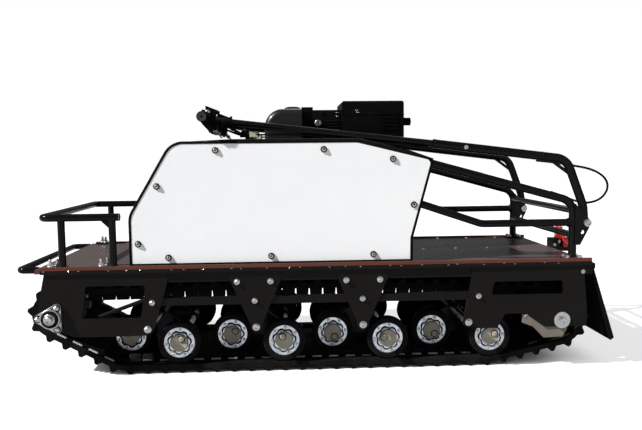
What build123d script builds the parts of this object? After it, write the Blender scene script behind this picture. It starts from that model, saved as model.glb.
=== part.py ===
from build123d import *
import math
import os

# Tracked snow tug: one wide rubber track under a plywood deck, an engine under a
# white-sided hood, a front rack and a tiller that folds forward over the hood.
# Millimetres. X points forward, Y to the left side, Z up. The origin is on the
# ground under the middle of the machine.

# Clearances
FIT = 0.15
SEAT = 0.3

# Track, and the wheels inside its loop
TRACK_WIDTH = 500.0
BELT_THICKNESS = 15.0
LUG_HEIGHT = 13.0
LUG_PITCH = 52.0
LUG_ROOT = 28.0
LUG_TIP = 9.0
# Rows of (right edge, left edge, shift along the belt): shares of the belt's width and of the pitch
LUG_COLUMNS = ((-0.5, 0.0, 0.0), (0.0, 0.5, 0.5))
TRACK_HEADROOM = 10.0
ROLLER_RADIUS = 64.0
ROLLER_WIDTH = 36.0
ROLLER_FLATS = 20
ROLLER_DISC_RADIUS = 46.0
ROLLER_BOSS_RADIUS = 25.0
ROLLER_BOSS_REACH = 4.0
ROLLER_EDGE = 23.0
ROLLER_STAGGER = 90.0
BOGIE_PITCH = 316.0
BOGIE_COUNT = 4
BOGIE_HALF_BASE = 81.4
BOGIE_RISE = 57.5
BOGIE_SHAFT_RADIUS = 12.0
ROLLER_AXLE_RADIUS = 10.0
ROCKER_ARM_GAP = 42.0
ROCKER_ARM_THICKNESS = 8.0
ROCKER_EDGE = 17.0
SLEEVE_RADIUS = 20.0
SPROCKET_LEAD = 275.3
SPROCKET_RISE = 38.5
SPROCKET_RADIUS = 58.0
SPROCKET_TEETH = 7
SPROCKET_TOOTH_DEPTH = 12.0
SPROCKET_WIDTH = 22.0
SPROCKET_Y = 100.0
DRIVE_SHAFT_RADIUS = 15.0
IDLER_LAG = 283.7
IDLER_RISE = 0.5
IDLER_RADIUS = 78.0
IDLER_WIDTH = 36.0
IDLER_AXLE_RADIUS = 9.0
IDLER_AXLE_REACH = 10.0
IDLER_SLOT = 40.0
IDLER_WASHER_RADIUS = 24.5
IDLER_WASHER = 4.0
RETURN_RADIUS = 24.0
RETURN_WIDTH = 36.0
RETURN_AXLE_RADIUS = 8.0

# Deck, and the side plates and tubes that carry it
DECK_FRONT_X = 825.0
DECK_NOSE = 40.0
DECK_TAIL = 73.0
DECK_RISE = 169.5
DECK_THICKNESS = 12.0
DECK_OVERHANG = 5.0
TRACK_GAP = 46.0
PLATE_THICKNESS = 4.0
PLATE_SETBACK = 24.0
PLATE_FOOT_DROP = 19.5
PLATE_BAND = 33.0
PLATE_HEEL = 60.0
PLATE_TOE = 66.0
PLATE_CHIN = 26.0
PLATE_STEP = 8.0
PLATE_LIP = 3.0
ANGLE_LEG = 34.0
TAB_HALF_WIDTH = 73.0
TAB_NECK = 6.0
NOTCH_HEIGHT = 42.0
NOTCH_HALF_TOP = 31.0
NOTCH_FRONT = 54.0
NOTCH_REAR = 90.0
HEEL_FRONT = 22.0
WINDOW_TOP = 7.0
WINDOW_FOOT = 54.0
WINDOW_LEAN = 16.0
WINDOW_NOSE = 101.0
WINDOW_HEEL = 3.0
WINDOW_CORNER = 8.0
SLIT_FRONT = 73.0
SLIT_TOP = 16.0
SLIT_HEIGHT = 40.0
SLIT_LEAN = 4.0
CROSS_TUBE = 25.0
CROSS_TUBE_COUNT = 5
RAIL_HEIGHT = 22.0
RAIL_WIDTH = 20.0
RAIL_FRONT_GAP = 40.0
STRUT_RADIUS = 6.0
STRUT_FRONT = 135.0
STRUT_FRONT_RISE = 38.0
STRUT_REAR = 6.0
STRUT_REAR_RISE = 90.0
REAR_BEAM = 20.0

# Front bearings
BEARING_REACH = 17.0
BEARING_BOLT_CIRCLE = 36.0
BEARING_LOBE = 12.0
BEARING_BOSS_RADIUS = 24.0
BEARING_BOSS = 14.0
BEARING_BASE = 8.0
BEARING_REST = 44.0

# Brackets that the rear axle is pulled against: rows of (forward, up) from the axle
BRACKET_OUTLINE = ((118.0, 18.0), (69.0, 18.0), (60.0, 6.0), (16.0, 16.0), (-16.0, 16.0), (-18.0, -30.0),
                   (-4.0, -52.0), (53.0, -54.0), (66.0, -40.0), (87.0, -19.0), (118.0, -7.0))
BRACKET_THICKNESS = 8.0

# Front bumper and rack
BUMPER_REACH = 66.0
BUMPER_RADIUS = 10.0
BUMPER_INSET = 25.0
BUMPER_RISE = 6.0
BUMPER_BEND = 18.0
RACK_RADIUS = 11.0
RACK_WALL = 2.0
RACK_RISE = 148.0
RACK_INSET = 14.0
RACK_SETBACK = 20.0
RACK_GAP = 28.0
RACK_CORNER = 22.0
RACK_POST_RADIUS = 10.5
RACK_POST_FRONT = 56.0
RACK_POST_REAR = 22.0
RACK_FOOT_LENGTH = 62.0
RACK_FOOT_WIDTH = 30.0
FOOT_THICKNESS = 5.0

# Hood
HOOD_SETBACK = 271.0
HOOD_INSET = 15.0
HOOD_HEIGHT = 360.0
HOOD_NOSE_HEIGHT = 149.0
HOOD_SLOPE = 125.0
HOOD_CORNER = 60.0
HOOD_TOP_END = 160.0
HOOD_TAIL = 64.0
HOOD_TAIL_DROP = 55.0
HOOD_TAIL_CORNER = 18.0
HOOD_LEAN = 1.0
HOOD_KICK = 74.0
HOOD_FRONT_JOINT = 40.0
HOOD_REAR_JOINT = 26.0
HOOD_CLEARANCE = 10.0
HOOD_PANEL = 4.0
HOOD_PANEL_INSET = 4.0
HOOD_FRAME = 20.0
HOOD_SHEET = 2.0

# Engine, standing on the deck and reaching out through the hood's top
ENGINE_NOSE = 389.0
ENGINE_LENGTH = 415.0
ENGINE_GAP = 18.0
ENGINE_WIDTH = 380.0
ENGINE_RISE = 9.0
ENGINE_SHOULDER = 70.0
TANK_LENGTH = 118.0
TANK_WIDTH = 220.0
TANK_HEIGHT = 98.0
TANK_CORNER = 58.8
TANK_EDGE = 20.0
CAP_RADIUS = 24.0
CAP_HEIGHT = 9.0
CAP_MARGIN = 4.0
BOX_LENGTH = 36.0
BOX_WIDTH = 150.0
BOX_HEIGHT = 104.0
BLOWER_HEIGHT = 94.0
BLOWER_WIDTH = 170.0
CLEANER_OVERHANG = 27.0
CLEANER_LENGTH = 197.0
CLEANER_WIDTH = 210.0
CLEANER_HEIGHT = 121.0
CLEANER_EDGE = 8.0
RIB_COUNT = 5
RIB_PITCH = 12.0
RIB_LENGTH = 55.0
RIB_DEPTH = 4.0
RIB_MARGIN = 20.0
RIB_DROP = 40.0
KNOB_RADIUS = 13.0
KNOB_LENGTH = 38.0
KNOB_DROP = 62.0
KEY_RADIUS = 10.0
KEY_LENGTH = 12.0
KEY_MARGIN = 15.0
KEY_RISE = 52.0

# Rear frame and the pivots of the tiller
FRAME_INSET = 26.0
FRAME_RADIUS = 12.0
FRAME_BEND = 45.0
POST_SETBACK = 37.0
POST_RISE = 174.0
POST_FOOT = 52.0
POST_FOOT_EDGE = 22.0
UPPER_RAIL_DROP = 13.0
UPPER_RAIL_LAP = 2.0
LOWER_RAIL_RADIUS = 11.0
LOWER_RAIL_BEND = 60.0
LOWER_RAIL_RUN = 212.0
LOWER_RAIL_LAP = 5.0
LOWER_RAIL_RISE = 70.0
CROSS_RADIUS = 10.0
CROSS_RISES = (147.0, 73.0)
PIVOT_LAG = 35.0
PIVOT_RISE = 111.0
PIVOT_GAP = 30.0
PIVOT_PLATE = 5.0
PIVOT_PIN_RADIUS = 6.0
PIVOT_HEAD_RADIUS = 11.0
PIVOT_HEAD = 7.0
PIVOT_PLATE_TOP = 58.0
PIVOT_PLATE_FOOT = 66.0
PIVOT_PLATE_EDGE = 18.0
PIVOT_PLATE_NOSE = 12.0
PIVOT_PLATE_CUT = 16.0
PIVOT_WEB = 2.0
PIVOT_WEB_TOP = 20.0
PIVOT_WEB_FOOT = 62.0
LOCK_HOLE_RADIUS = 6.0
LOCK_HOLE_DROP = 28.0

# Tiller, folded forward
ARM_RADIUS = 13.0
ARM_HIP = (5.0, 50.0)
ARM_KNEE = (-22.0, -57.0)
ARM_BEND_LEAD = 58.0
ARM_RUN = 402.0
ARM_CLIMB = 50.0
ARM_DROP = 9.0
ARM_BENDS = (60.0, 60.0, 50.0)
ARM_EYE_RADIUS = 15.0
ARM_EYE_PLAY = 1.0
BRACE_RADIUS = 5.0
BRACE_FOOT = (-18.0, -50.0)
BRACE_HEAD = (60.0, 7.0)
FRONT_ARM_RADIUS = 10.0
HANDLE_REACH = 669.0
HANDLE_RISE = 73.0
HANDLE_RADIUS = 11.0
HANDLE_WIDTH = 640.0
GRIP_RADIUS = 15.5
GRIP_LENGTH = 115.0
LEVER_WIDTH = 32.0
LEVER_GAP = 11.0
LEVER_ARM_GAP = 52.0
# Rows of (forward, up) from the middle of the bar
LEVER_OUTLINE = ((14.0, 28.0), (-26.0, 20.0), (-32.0, -20.0), (-28.0, -42.0), (-10.0, -42.0), (14.0, -16.0))

# Mud flap and tow coupling
FLAP_INSET = 20.0
FLAP_THICKNESS = 10.0
FLAP_BOTTOM_Z = 80.0
FLAP_SLANT = 76.0
FLAP_BEVEL = 8.0
COUPLING_WIDTH = 50.0
COUPLING_LENGTH = 48.0
COUPLING_HEIGHT = 42.0
COUPLING_MOUTH = 18.0
COUPLING_WALL = 6.0
COUPLING_PIN_RADIUS = 8.0
LATCH_WIDTH = 16.0
# Rows of (forward, up) from the top of the coupling, at the flap
LATCH_OUTLINE = ((12.0, 0.0), (9.0, 37.0), (-12.0, 38.0), (-8.0, 22.0), (-14.0, 8.0), (-14.0, 0.0))

# Control cable: rows of (forward, up) from the arm's bend
CABLE_RADIUS = 3.5
CABLE_BEND = 34.0
CABLE_ROUTE = ((37.0, -9.0), (-20.0, -19.0), (-105.0, -36.0), (-136.0, -86.0),
               (-100.0, -130.0), (-50.0, -128.0), (40.0, -98.0))

# Worked out from the sizes above: across
plate_inner_y = TRACK_WIDTH / 2 + TRACK_GAP
plate_y = plate_inner_y + PLATE_THICKNESS
deck_y = plate_y + DECK_OVERHANG
outer_roller_y = TRACK_WIDTH / 2 - ROLLER_EDGE
inner_roller_y = outer_roller_y - ROLLER_STAGGER
rocker_arm_y = inner_roller_y - ROCKER_ARM_GAP
hood_side_y = deck_y - HOOD_INSET
hood_frame_y = hood_side_y - HOOD_PANEL
frame_y = deck_y - FRAME_INSET
rack_y = deck_y - RACK_INSET
lever_y = HANDLE_WIDTH / 2 - GRIP_LENGTH - LEVER_GAP - LEVER_WIDTH / 2
handle_arm_y = lever_y - LEVER_WIDTH / 2 - LEVER_ARM_GAP

# Upwards
roller_z = LUG_HEIGHT + BELT_THICKNESS + ROLLER_RADIUS
bogie_z = roller_z + BOGIE_RISE
sprocket_z = bogie_z + SPROCKET_RISE
idler_z = bogie_z + IDLER_RISE
plate_foot_z = bogie_z - PLATE_FOOT_DROP
deck_under_z = bogie_z + DECK_RISE
deck_top_z = deck_under_z + DECK_THICKNESS
plate_band_z = deck_under_z - PLATE_BAND
tube_under_z = deck_under_z - PLATE_THICKNESS - CROSS_TUBE
rail_z = tube_under_z - TRACK_HEADROOM - LUG_HEIGHT - BELT_THICKNESS - RETURN_RADIUS
rack_z = deck_top_z + RACK_RISE
hood_top_z = deck_top_z + HOOD_HEIGHT
engine_top_z = hood_top_z + ENGINE_RISE
pivot_z = deck_top_z + PIVOT_RISE
post_bend_z = deck_top_z + POST_RISE
arm_joint_z = hood_top_z - ARM_DROP
arm_bend_z = arm_joint_z - ARM_CLIMB
handle_z = hood_top_z + HANDLE_RISE

# Forward
sprocket_x = DECK_FRONT_X - DECK_NOSE
bogie_xs = [sprocket_x - SPROCKET_LEAD - BOGIE_PITCH * k for k in range(BOGIE_COUNT)]
tab_xs = bogie_xs[1:-1]
idler_x = bogie_xs[-1] - IDLER_LAG
deck_rear_x = idler_x - DECK_TAIL
deck_length = DECK_FRONT_X - deck_rear_x
plate_front_x = DECK_FRONT_X - PLATE_SETBACK
plate_rear_x = deck_rear_x - REAR_BEAM
hood_front_x = DECK_FRONT_X - HOOD_SETBACK
engine_front_x = hood_front_x - ENGINE_NOSE
engine_rear_x = engine_front_x - ENGINE_LENGTH
hood_foot_x = engine_rear_x - ENGINE_GAP
hood_tail_x = hood_foot_x - HOOD_TAIL
hood_joint_front_x = hood_front_x - HOOD_SLOPE - HOOD_FRONT_JOINT
hood_joint_rear_x = hood_tail_x + HOOD_REAR_JOINT
tank_rear_x = engine_front_x - TANK_LENGTH
box_rear_x = tank_rear_x - BOX_LENGTH
cleaner_rear_x = engine_rear_x - CLEANER_OVERHANG
cleaner_front_x = cleaner_rear_x + CLEANER_LENGTH
rack_front_x = DECK_FRONT_X - RACK_SETBACK
rack_rear_x = hood_front_x + RACK_GAP
post_x = deck_rear_x + POST_SETBACK
pivot_x = post_x - PIVOT_LAG
arm_bend_x = pivot_x + ARM_BEND_LEAD
arm_joint_x = arm_bend_x + ARM_RUN
handle_x = arm_joint_x + HANDLE_REACH


def rod_y(x, z, radius, y_low, y_high):
    """A round rod across the machine."""
    middle = (y_low + y_high) / 2
    return Pos(x, middle, z) * Rot(90, 0, 0) * Cylinder(radius, y_high - y_low)


def rod_z(x, y, radius, z_low, z_high):
    """An upright round rod."""
    return Pos(x, y, (z_low + z_high) / 2) * Cylinder(radius, z_high - z_low)


def block(x_low, x_high, y_low, y_high, z_low, z_high):
    """A box between two corners."""
    middle = Pos((x_low + x_high) / 2, (y_low + y_high) / 2, (z_low + z_high) / 2)
    return middle * Box(x_high - x_low, y_high - y_low, z_high - z_low)


def side_face(points):
    """A face with straight edges, its points given as (x, z)."""
    return make_face(Polyline(*points, close=True))


def placed(rows, x, z):
    """Rows of (forward, up) turned into points from the given place."""
    return [(x + forward, z + up) for forward, up in rows]


def side_slab(face, y_low, y_high):
    """A slab of the given side outline between two values of Y."""
    return extrude(Plane.XZ.offset(-y_high) * face, y_high - y_low, dir=(0, -1, 0))


def rounded_face(corners):
    """A face from rows of (x, z, corner radius)."""
    face = side_face([(x, z) for x, z, _ in corners])
    for x, z, radius in corners:
        if radius:
            corner = face.vertices().sort_by_distance((x, z, 0))[0]
            face = fillet(corner, radius)
    return face


def window(points):
    """A cut-out with rounded corners, its points given as (x, z)."""
    return rounded_face([(x, z, WINDOW_CORNER) for x, z in points])


def pipe(points, radii, radius):
    """A round bar along straight runs joined by bends."""
    path = FilletPolyline(*points, radius=radii) if radii else Polyline(*points)
    return sweep(Plane(path @ 0, z_dir=path % 0) * Circle(radius), path=path)


def both_sides(shape):
    """The shape and its mirror image on the other side."""
    return Compound(children=[*shape.solids(), *mirror(shape, about=Plane.XZ).solids()])


def gather(shapes):
    """Separate solids that share one node."""
    return Compound(children=[solid for shape in shapes for solid in shape.solids()])


# Track loop

def loop_wheels():
    """Rows of (x, z, radius) for what the belt runs round, from the rear roller forward."""
    first = bogie_xs[0] + BOGIE_HALF_BASE
    last = bogie_xs[-1] - BOGIE_HALF_BASE
    returns = [(x, rail_z, RETURN_RADIUS) for x in tab_xs]
    return [
        (last, roller_z, ROLLER_RADIUS),
        (first, roller_z, ROLLER_RADIUS),
        (sprocket_x, sprocket_z, SPROCKET_RADIUS),
        *returns,
        (idler_x, idler_z, IDLER_RADIUS),
    ]


def run_angles(wheels):
    """The direction of each straight run, from one wheel to the next."""
    angles = []
    for (x0, z0, r0), (x1, z1, r1) in zip(wheels, wheels[1:] + wheels[:1]):
        reach = math.hypot(x1 - x0, z1 - z0)
        angles.append(math.atan2(z1 - z0, x1 - x0) + math.asin((r0 - r1) / reach))
    return angles


def rim_point(wheel, angle, grow):
    """The point where a run with the given direction leaves a wheel, moved out by grow."""
    x, z, radius = wheel
    return (x + (radius + grow) * math.sin(angle), z - (radius + grow) * math.cos(angle))


def loop_face(grow):
    """The area inside the belt loop, moved out by grow."""
    wheels = loop_wheels()
    angles = run_angles(wheels)
    edges = []
    for k, wheel in enumerate(wheels):
        arrive = angles[k - 1]
        turn = (angles[k] - arrive) % (2 * math.pi)
        ends = [rim_point(wheel, arrive + turn * part, grow) for part in (0, 0.5, 1)]
        edges.append(ThreePointArc(*ends))
        after = wheels[(k + 1) % len(wheels)]
        edges.append(Line(ends[2], rim_point(after, angles[k], grow)))
    return make_face(edges)


def loop_stations(grow, shift):
    """Evenly spaced (x, z, direction) places along the belt, moved on by a share of the pitch."""
    wheels = loop_wheels()
    angles = run_angles(wheels)
    spans = []
    for k, wheel in enumerate(wheels):
        turn = (angles[k] - angles[k - 1]) % (2 * math.pi)
        spans.append((turn * (wheel[2] + grow), wheel, angles[k - 1], turn))
        start = rim_point(wheel, angles[k], grow)
        end = rim_point(wheels[(k + 1) % len(wheels)], angles[k], grow)
        spans.append((math.dist(start, end), start, angles[k], None))
    total = sum(span[0] for span in spans)
    count = round(total / LUG_PITCH)
    stations = []
    for number in range(count):
        along = total * (number + shift) / count
        for length, start, angle, turn in spans:
            if along <= length:
                break
            along -= length
        if turn is None:
            x = start[0] + along * math.cos(angle)
            z = start[1] + along * math.sin(angle)
        else:
            angle += turn * along / length
            x, z = rim_point(start, angle, grow)
        stations.append((x, z, angle))
    return stations


def rubber_track():
    """The belt with two columns of lugs on its outside, staggered by half a pitch."""
    lug = Polygon(
        (-LUG_ROOT / 2, 0), (-LUG_ROOT / 2, BELT_THICKNESS / 2), (LUG_ROOT / 2, BELT_THICKNESS / 2),
        (LUG_ROOT / 2, 0), (LUG_TIP / 2, -LUG_HEIGHT), (-LUG_TIP / 2, -LUG_HEIGHT), align=None)
    belt, inside = loop_face(BELT_THICKNESS), loop_face(0)
    columns = []
    for right, left, shift in LUG_COLUMNS:
        lugs = [Pos(x, z) * Rot(0, 0, math.degrees(angle)) * lug
                for x, z, angle in loop_stations(BELT_THICKNESS, shift)]
        section = belt + lugs - inside
        columns.append(side_slab(section, right * TRACK_WIDTH, left * TRACK_WIDTH))
    return columns[0] + columns[1:]


# Chassis

def side_angles():
    """Steel angles along both edges of the deck."""
    section = Polyline((plate_inner_y, deck_under_z), (plate_inner_y, plate_band_z),
                       (plate_inner_y - PLATE_THICKNESS, plate_band_z),
                       (plate_inner_y - PLATE_THICKNESS, deck_under_z - PLATE_THICKNESS),
                       (plate_inner_y - ANGLE_LEG, deck_under_z - PLATE_THICKNESS),
                       (plate_inner_y - ANGLE_LEG, deck_under_z), close=True)
    bar = extrude(Plane.YZ.offset(plate_rear_x) * make_face(section), plate_front_x - plate_rear_x)
    return both_sides(bar)


def front_plates():
    """The plates at the front that carry the drive shaft and the first bogie."""
    bolt_x, top, band, foot = bogie_xs[0], deck_under_z, plate_band_z, plate_foot_z
    lobe = ROCKER_EDGE
    plate = side_face([
        (plate_front_x, top), (sprocket_x + BEARING_REST, sprocket_z),
        (sprocket_x - PLATE_CHIN, sprocket_z - BEARING_REST), (sprocket_x - PLATE_TOE, foot),
        (bolt_x + PLATE_STEP, foot), (bolt_x - lobe, bogie_z - TAB_NECK),
        (bolt_x - PLATE_HEEL, band), (bolt_x - PLATE_HEEL, top)])
    plate += Pos(sprocket_x, sprocket_z) * Circle(BEARING_REST)
    plate += Pos(bolt_x, bogie_z) * Circle(lobe)
    front, rear = sprocket_x - WINDOW_NOSE, bolt_x + WINDOW_HEEL
    plate -= window([
        (front, band - WINDOW_TOP), (rear, band - WINDOW_TOP),
        (rear + WINDOW_LEAN, foot + WINDOW_FOOT), (front + WINDOW_LEAN, foot + WINDOW_FOOT)])
    plate -= Pos(sprocket_x, sprocket_z) * Circle(BEARING_BOSS_RADIUS)
    return both_sides(side_slab(plate, plate_inner_y, plate_y))


def tab_plates():
    """The tapered plates that hang from the angles and carry the middle bogies."""
    lobe = ROCKER_EDGE
    tabs = []
    for x in tab_xs:
        tab = side_face([
            (x + TAB_HALF_WIDTH, deck_under_z), (x + TAB_HALF_WIDTH, plate_band_z),
            (x + lobe, bogie_z + TAB_NECK), (x - lobe, bogie_z + TAB_NECK),
            (x - TAB_HALF_WIDTH, plate_band_z), (x - TAB_HALF_WIDTH, deck_under_z)])
        tab += Pos(x, bogie_z) * Circle(lobe)
        tabs.append(both_sides(side_slab(tab, plate_inner_y, plate_y)))
    return gather(tabs)


def rear_plates():
    """The plates at the rear that carry the last bogie and the idler."""
    bolt_x, top, band, foot = bogie_xs[-1], deck_under_z, plate_band_z, plate_foot_z
    lobe = ROCKER_EDGE
    notch_x = (bolt_x + idler_x) / 2
    notch_z = foot + NOTCH_HEIGHT
    plate = side_face([
        (bolt_x - PLATE_STEP, top), (bolt_x - PLATE_STEP, band), (bolt_x + lobe, bogie_z),
        (bolt_x - HEEL_FRONT, foot), (notch_x + NOTCH_FRONT, foot), (notch_x + NOTCH_HALF_TOP, notch_z),
        (notch_x - NOTCH_HALF_TOP, notch_z), (notch_x - NOTCH_REAR, foot), (deck_rear_x - PLATE_LIP, foot),
        (deck_rear_x - PLATE_LIP, sprocket_z), (deck_rear_x + TAB_NECK, band),
        (plate_rear_x, top - REAR_BEAM), (plate_rear_x, top)])
    plate += Pos(bolt_x, bogie_z) * Circle(lobe)
    front = bolt_x - SLIT_FRONT
    slit_top, slit_foot = band - SLIT_TOP, band - SLIT_TOP - SLIT_HEIGHT
    plate -= window([
        (front - SLIT_LEAN, slit_top), (idler_x, slit_top),
        (idler_x - SLIT_LEAN, slit_foot), (front + SLIT_LEAN, slit_foot)])
    plate -= Pos(idler_x, idler_z) * SlotOverall(IDLER_SLOT, 2 * (IDLER_AXLE_RADIUS + FIT))
    return both_sides(side_slab(plate, plate_inner_y, plate_y))


def front_struts():
    """The slanting braces behind the front plates' windows."""
    y = plate_inner_y - SEAT - STRUT_RADIUS
    front = (sprocket_x - STRUT_FRONT, y, bogie_z + STRUT_FRONT_RISE)
    rear = (bogie_xs[0] - STRUT_REAR, y, bogie_z + STRUT_REAR_RISE)
    return both_sides(pipe([front, rear], None, STRUT_RADIUS))


def deck_board():
    """The plywood deck."""
    return block(deck_rear_x, DECK_FRONT_X, -deck_y, deck_y, deck_under_z, deck_top_z)


def cross_tubes():
    """Square tubes across the machine between the angles, and the beam behind the deck."""
    reach = plate_inner_y - PLATE_THICKNESS
    top = deck_under_z - PLATE_THICKNESS
    first_x, last_x = plate_front_x, deck_rear_x + CROSS_TUBE + PLATE_STEP
    tubes = [block(plate_rear_x, deck_rear_x, -reach, reach, top - REAR_BEAM, top)]
    for k in range(CROSS_TUBE_COUNT):
        x = first_x + (last_x - first_x) * k / (CROSS_TUBE_COUNT - 1)
        tubes.append(block(x - CROSS_TUBE, x, -reach, reach, top - CROSS_TUBE, top))
    return gather(tubes)


def side_rails():
    """The long tubes inside the plates that carry the return axles."""
    rail = block(bogie_xs[-1], bogie_xs[0] - RAIL_FRONT_GAP, plate_inner_y - RAIL_WIDTH, plate_inner_y,
                 rail_z - RAIL_HEIGHT / 2, rail_z + RAIL_HEIGHT / 2)
    return both_sides(rail)


# Running gear

def bogie_shafts():
    """The cross shafts that the bogies rock on."""
    return gather(rod_y(x, bogie_z, BOGIE_SHAFT_RADIUS, -plate_inner_y, plate_inner_y) for x in bogie_xs)


def roller_axle_xs():
    """Rows of (x, roller Y) for every roller axle."""
    rows = []
    for x in bogie_xs:
        rows.append((x + BOGIE_HALF_BASE, inner_roller_y))
        rows.append((x - BOGIE_HALF_BASE, outer_roller_y))
    return rows


def bogie_rockers():
    """Each bogie: two triangular arms on a sleeve round the cross shaft."""
    rockers = []
    for x in bogie_xs:
        corners = [(x, bogie_z), (x + BOGIE_HALF_BASE, roller_z), (x - BOGIE_HALF_BASE, roller_z)]
        arm = offset(side_face(corners), ROCKER_EDGE, kind=Kind.ARC)
        for corner_x, corner_z in corners[1:]:
            arm -= Pos(corner_x, corner_z) * Circle(ROLLER_AXLE_RADIUS + FIT)
        half = ROCKER_ARM_THICKNESS / 2
        body = side_slab(arm, rocker_arm_y - half, rocker_arm_y + half)
        body += side_slab(arm, -rocker_arm_y - half, -rocker_arm_y + half)
        body += rod_y(x, bogie_z, SLEEVE_RADIUS, -rocker_arm_y - half, rocker_arm_y + half)
        rockers.append(body - rod_y(x, bogie_z, BOGIE_SHAFT_RADIUS + FIT, -plate_y, plate_y))
    return gather(rockers)


def roller_axles():
    """The axles at the ends of the bogies, as long as their rollers need, and those of the upper run."""
    reach = ROLLER_WIDTH / 2 + ROLLER_BOSS_REACH
    axles = [rod_y(x, roller_z, ROLLER_AXLE_RADIUS, -y - reach, y + reach) for x, y in roller_axle_xs()]
    reach = plate_inner_y - RAIL_WIDTH
    axles += [rod_y(x, rail_z, RETURN_AXLE_RADIUS, -reach, reach) for x in tab_xs]
    return gather(axles)


def roller_places():
    """Rows of (x, y) for every road roller."""
    return [(x, side * y) for x, y in roller_axle_xs() for side in (1, -1)]


def roller_tyres():
    """Rubber rings of the road rollers, many-sided and seated on their discs."""
    half = ROLLER_WIDTH / 2
    bore = ROLLER_DISC_RADIUS / math.cos(math.pi / ROLLER_FLATS)
    ring = RegularPolygon(ROLLER_RADIUS - SEAT, ROLLER_FLATS) - RegularPolygon(bore, ROLLER_FLATS)
    return gather(side_slab(Pos(x, roller_z) * ring, y - half, y + half) for x, y in roller_places())


def roller_discs():
    """Discs with a boss, pressed into the rubber rings."""
    half = ROLLER_WIDTH / 2 - ROLLER_BOSS_REACH
    boss = ROLLER_WIDTH / 2 + ROLLER_BOSS_REACH
    discs = []
    for x, y in roller_places():
        disc = rod_y(x, roller_z, ROLLER_DISC_RADIUS - FIT, y - half, y + half)
        disc += rod_y(x, roller_z, ROLLER_BOSS_RADIUS, y - boss, y + boss)
        discs.append(disc - rod_y(x, roller_z, ROLLER_AXLE_RADIUS + FIT, y - boss, y + boss))
    return gather(discs)


def drive_shaft():
    """The shaft across the front that drives the track."""
    reach = plate_y + BEARING_REACH
    return rod_y(sprocket_x, sprocket_z, DRIVE_SHAFT_RADIUS, -reach, reach)


def drive_sprockets():
    """Two sprockets with round-bottomed gaps between their teeth."""
    outer = SPROCKET_RADIUS - SEAT
    profile = Circle(outer) - Circle(DRIVE_SHAFT_RADIUS + FIT)
    for k in range(SPROCKET_TEETH):
        gap = SlotOverall(3 * SPROCKET_TOOTH_DEPTH, 2 * SPROCKET_TOOTH_DEPTH)
        gap = Pos(outer + SPROCKET_TOOTH_DEPTH / 2, 0) * gap
        profile -= Rot(0, 0, 360 * k / SPROCKET_TEETH) * gap
    profile = Pos(sprocket_x, sprocket_z) * profile
    half = SPROCKET_WIDTH / 2
    return both_sides(side_slab(profile, SPROCKET_Y - half, SPROCKET_Y + half))


def front_bearing():
    """The left three-lobed flange bearing on the outside of the plate."""
    lobes = [(sprocket_x + BEARING_BOLT_CIRCLE * math.cos(math.radians(turn)),
              sprocket_z + BEARING_BOLT_CIRCLE * math.sin(math.radians(turn)))
             for turn in (0, 120, 240)]
    base = offset(side_face(lobes), BEARING_LOBE, kind=Kind.ARC)
    body = side_slab(base, plate_y, plate_y + BEARING_BASE)
    body += rod_y(sprocket_x, sprocket_z, BEARING_BOSS_RADIUS, plate_y, plate_y + BEARING_BOSS)
    return body - rod_y(sprocket_x, sprocket_z, DRIVE_SHAFT_RADIUS + FIT, 0, plate_y + BEARING_REACH)


def idler_axle():
    """The rear axle with a big washer outside each plate."""
    reach = plate_y + IDLER_AXLE_REACH
    axle = rod_y(idler_x, idler_z, IDLER_AXLE_RADIUS, -reach, reach)
    washer = rod_y(idler_x, idler_z, IDLER_WASHER_RADIUS, plate_y, plate_y + IDLER_WASHER)
    return axle + washer + mirror(washer, about=Plane.XZ)


def idler_wheels():
    """The two rear wheels that turn the track back."""
    half = IDLER_WIDTH / 2
    wheel = rod_y(idler_x, idler_z, IDLER_RADIUS - SEAT, inner_roller_y - half, inner_roller_y + half)
    return both_sides(wheel - rod_y(idler_x, idler_z, IDLER_AXLE_RADIUS + FIT, 0, plate_y))


def tension_brackets():
    """The angled blocks inside the plates that the rear axle is pulled against."""
    body = side_face(placed(BRACKET_OUTLINE, idler_x, idler_z))
    body -= Pos(idler_x, idler_z) * Circle(IDLER_AXLE_RADIUS + FIT)
    return both_sides(side_slab(body, plate_inner_y - BRACKET_THICKNESS, plate_inner_y))


def return_rollers():
    """The small rollers under the upper run."""
    half = RETURN_WIDTH / 2
    rollers = []
    for x in tab_xs:
        roller = rod_y(x, rail_z, RETURN_RADIUS - SEAT, inner_roller_y - half, inner_roller_y + half)
        rollers.append(both_sides(roller - rod_y(x, rail_z, RETURN_AXLE_RADIUS + FIT, 0, plate_y)))
    return gather(rollers)


# Front bumper and rack

def front_bumper():
    """A low hoop in front of the deck, on two tabs under the deck's edge."""
    centre_x = DECK_FRONT_X + BUMPER_REACH - BUMPER_RADIUS
    side = deck_y - BUMPER_INSET - BUMPER_RADIUS
    z = deck_under_z + BUMPER_RISE
    points = [(DECK_FRONT_X, side, z), (centre_x, side, z), (centre_x, -side, z), (DECK_FRONT_X, -side, z)]
    hoop = pipe(points, BUMPER_BEND, BUMPER_RADIUS)
    tab = block(plate_front_x, DECK_FRONT_X + BUMPER_RADIUS, side - BUMPER_RADIUS, side + BUMPER_RADIUS,
                deck_under_z - FOOT_THICKNESS, deck_under_z)
    return hoop + tab + mirror(tab, about=Plane.XZ)


def rack_path(radius):
    """A solid bar of the given radius along the rack's hoop."""
    points = [(rack_rear_x, rack_y, rack_z), (rack_front_x, rack_y, rack_z),
              (rack_front_x, -rack_y, rack_z), (rack_rear_x, -rack_y, rack_z)]
    return pipe(points, RACK_CORNER, radius)


def rack_hoop():
    """The open-ended hoop of the front rack."""
    return rack_path(RACK_RADIUS) - rack_path(RACK_RADIUS - RACK_WALL)


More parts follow.
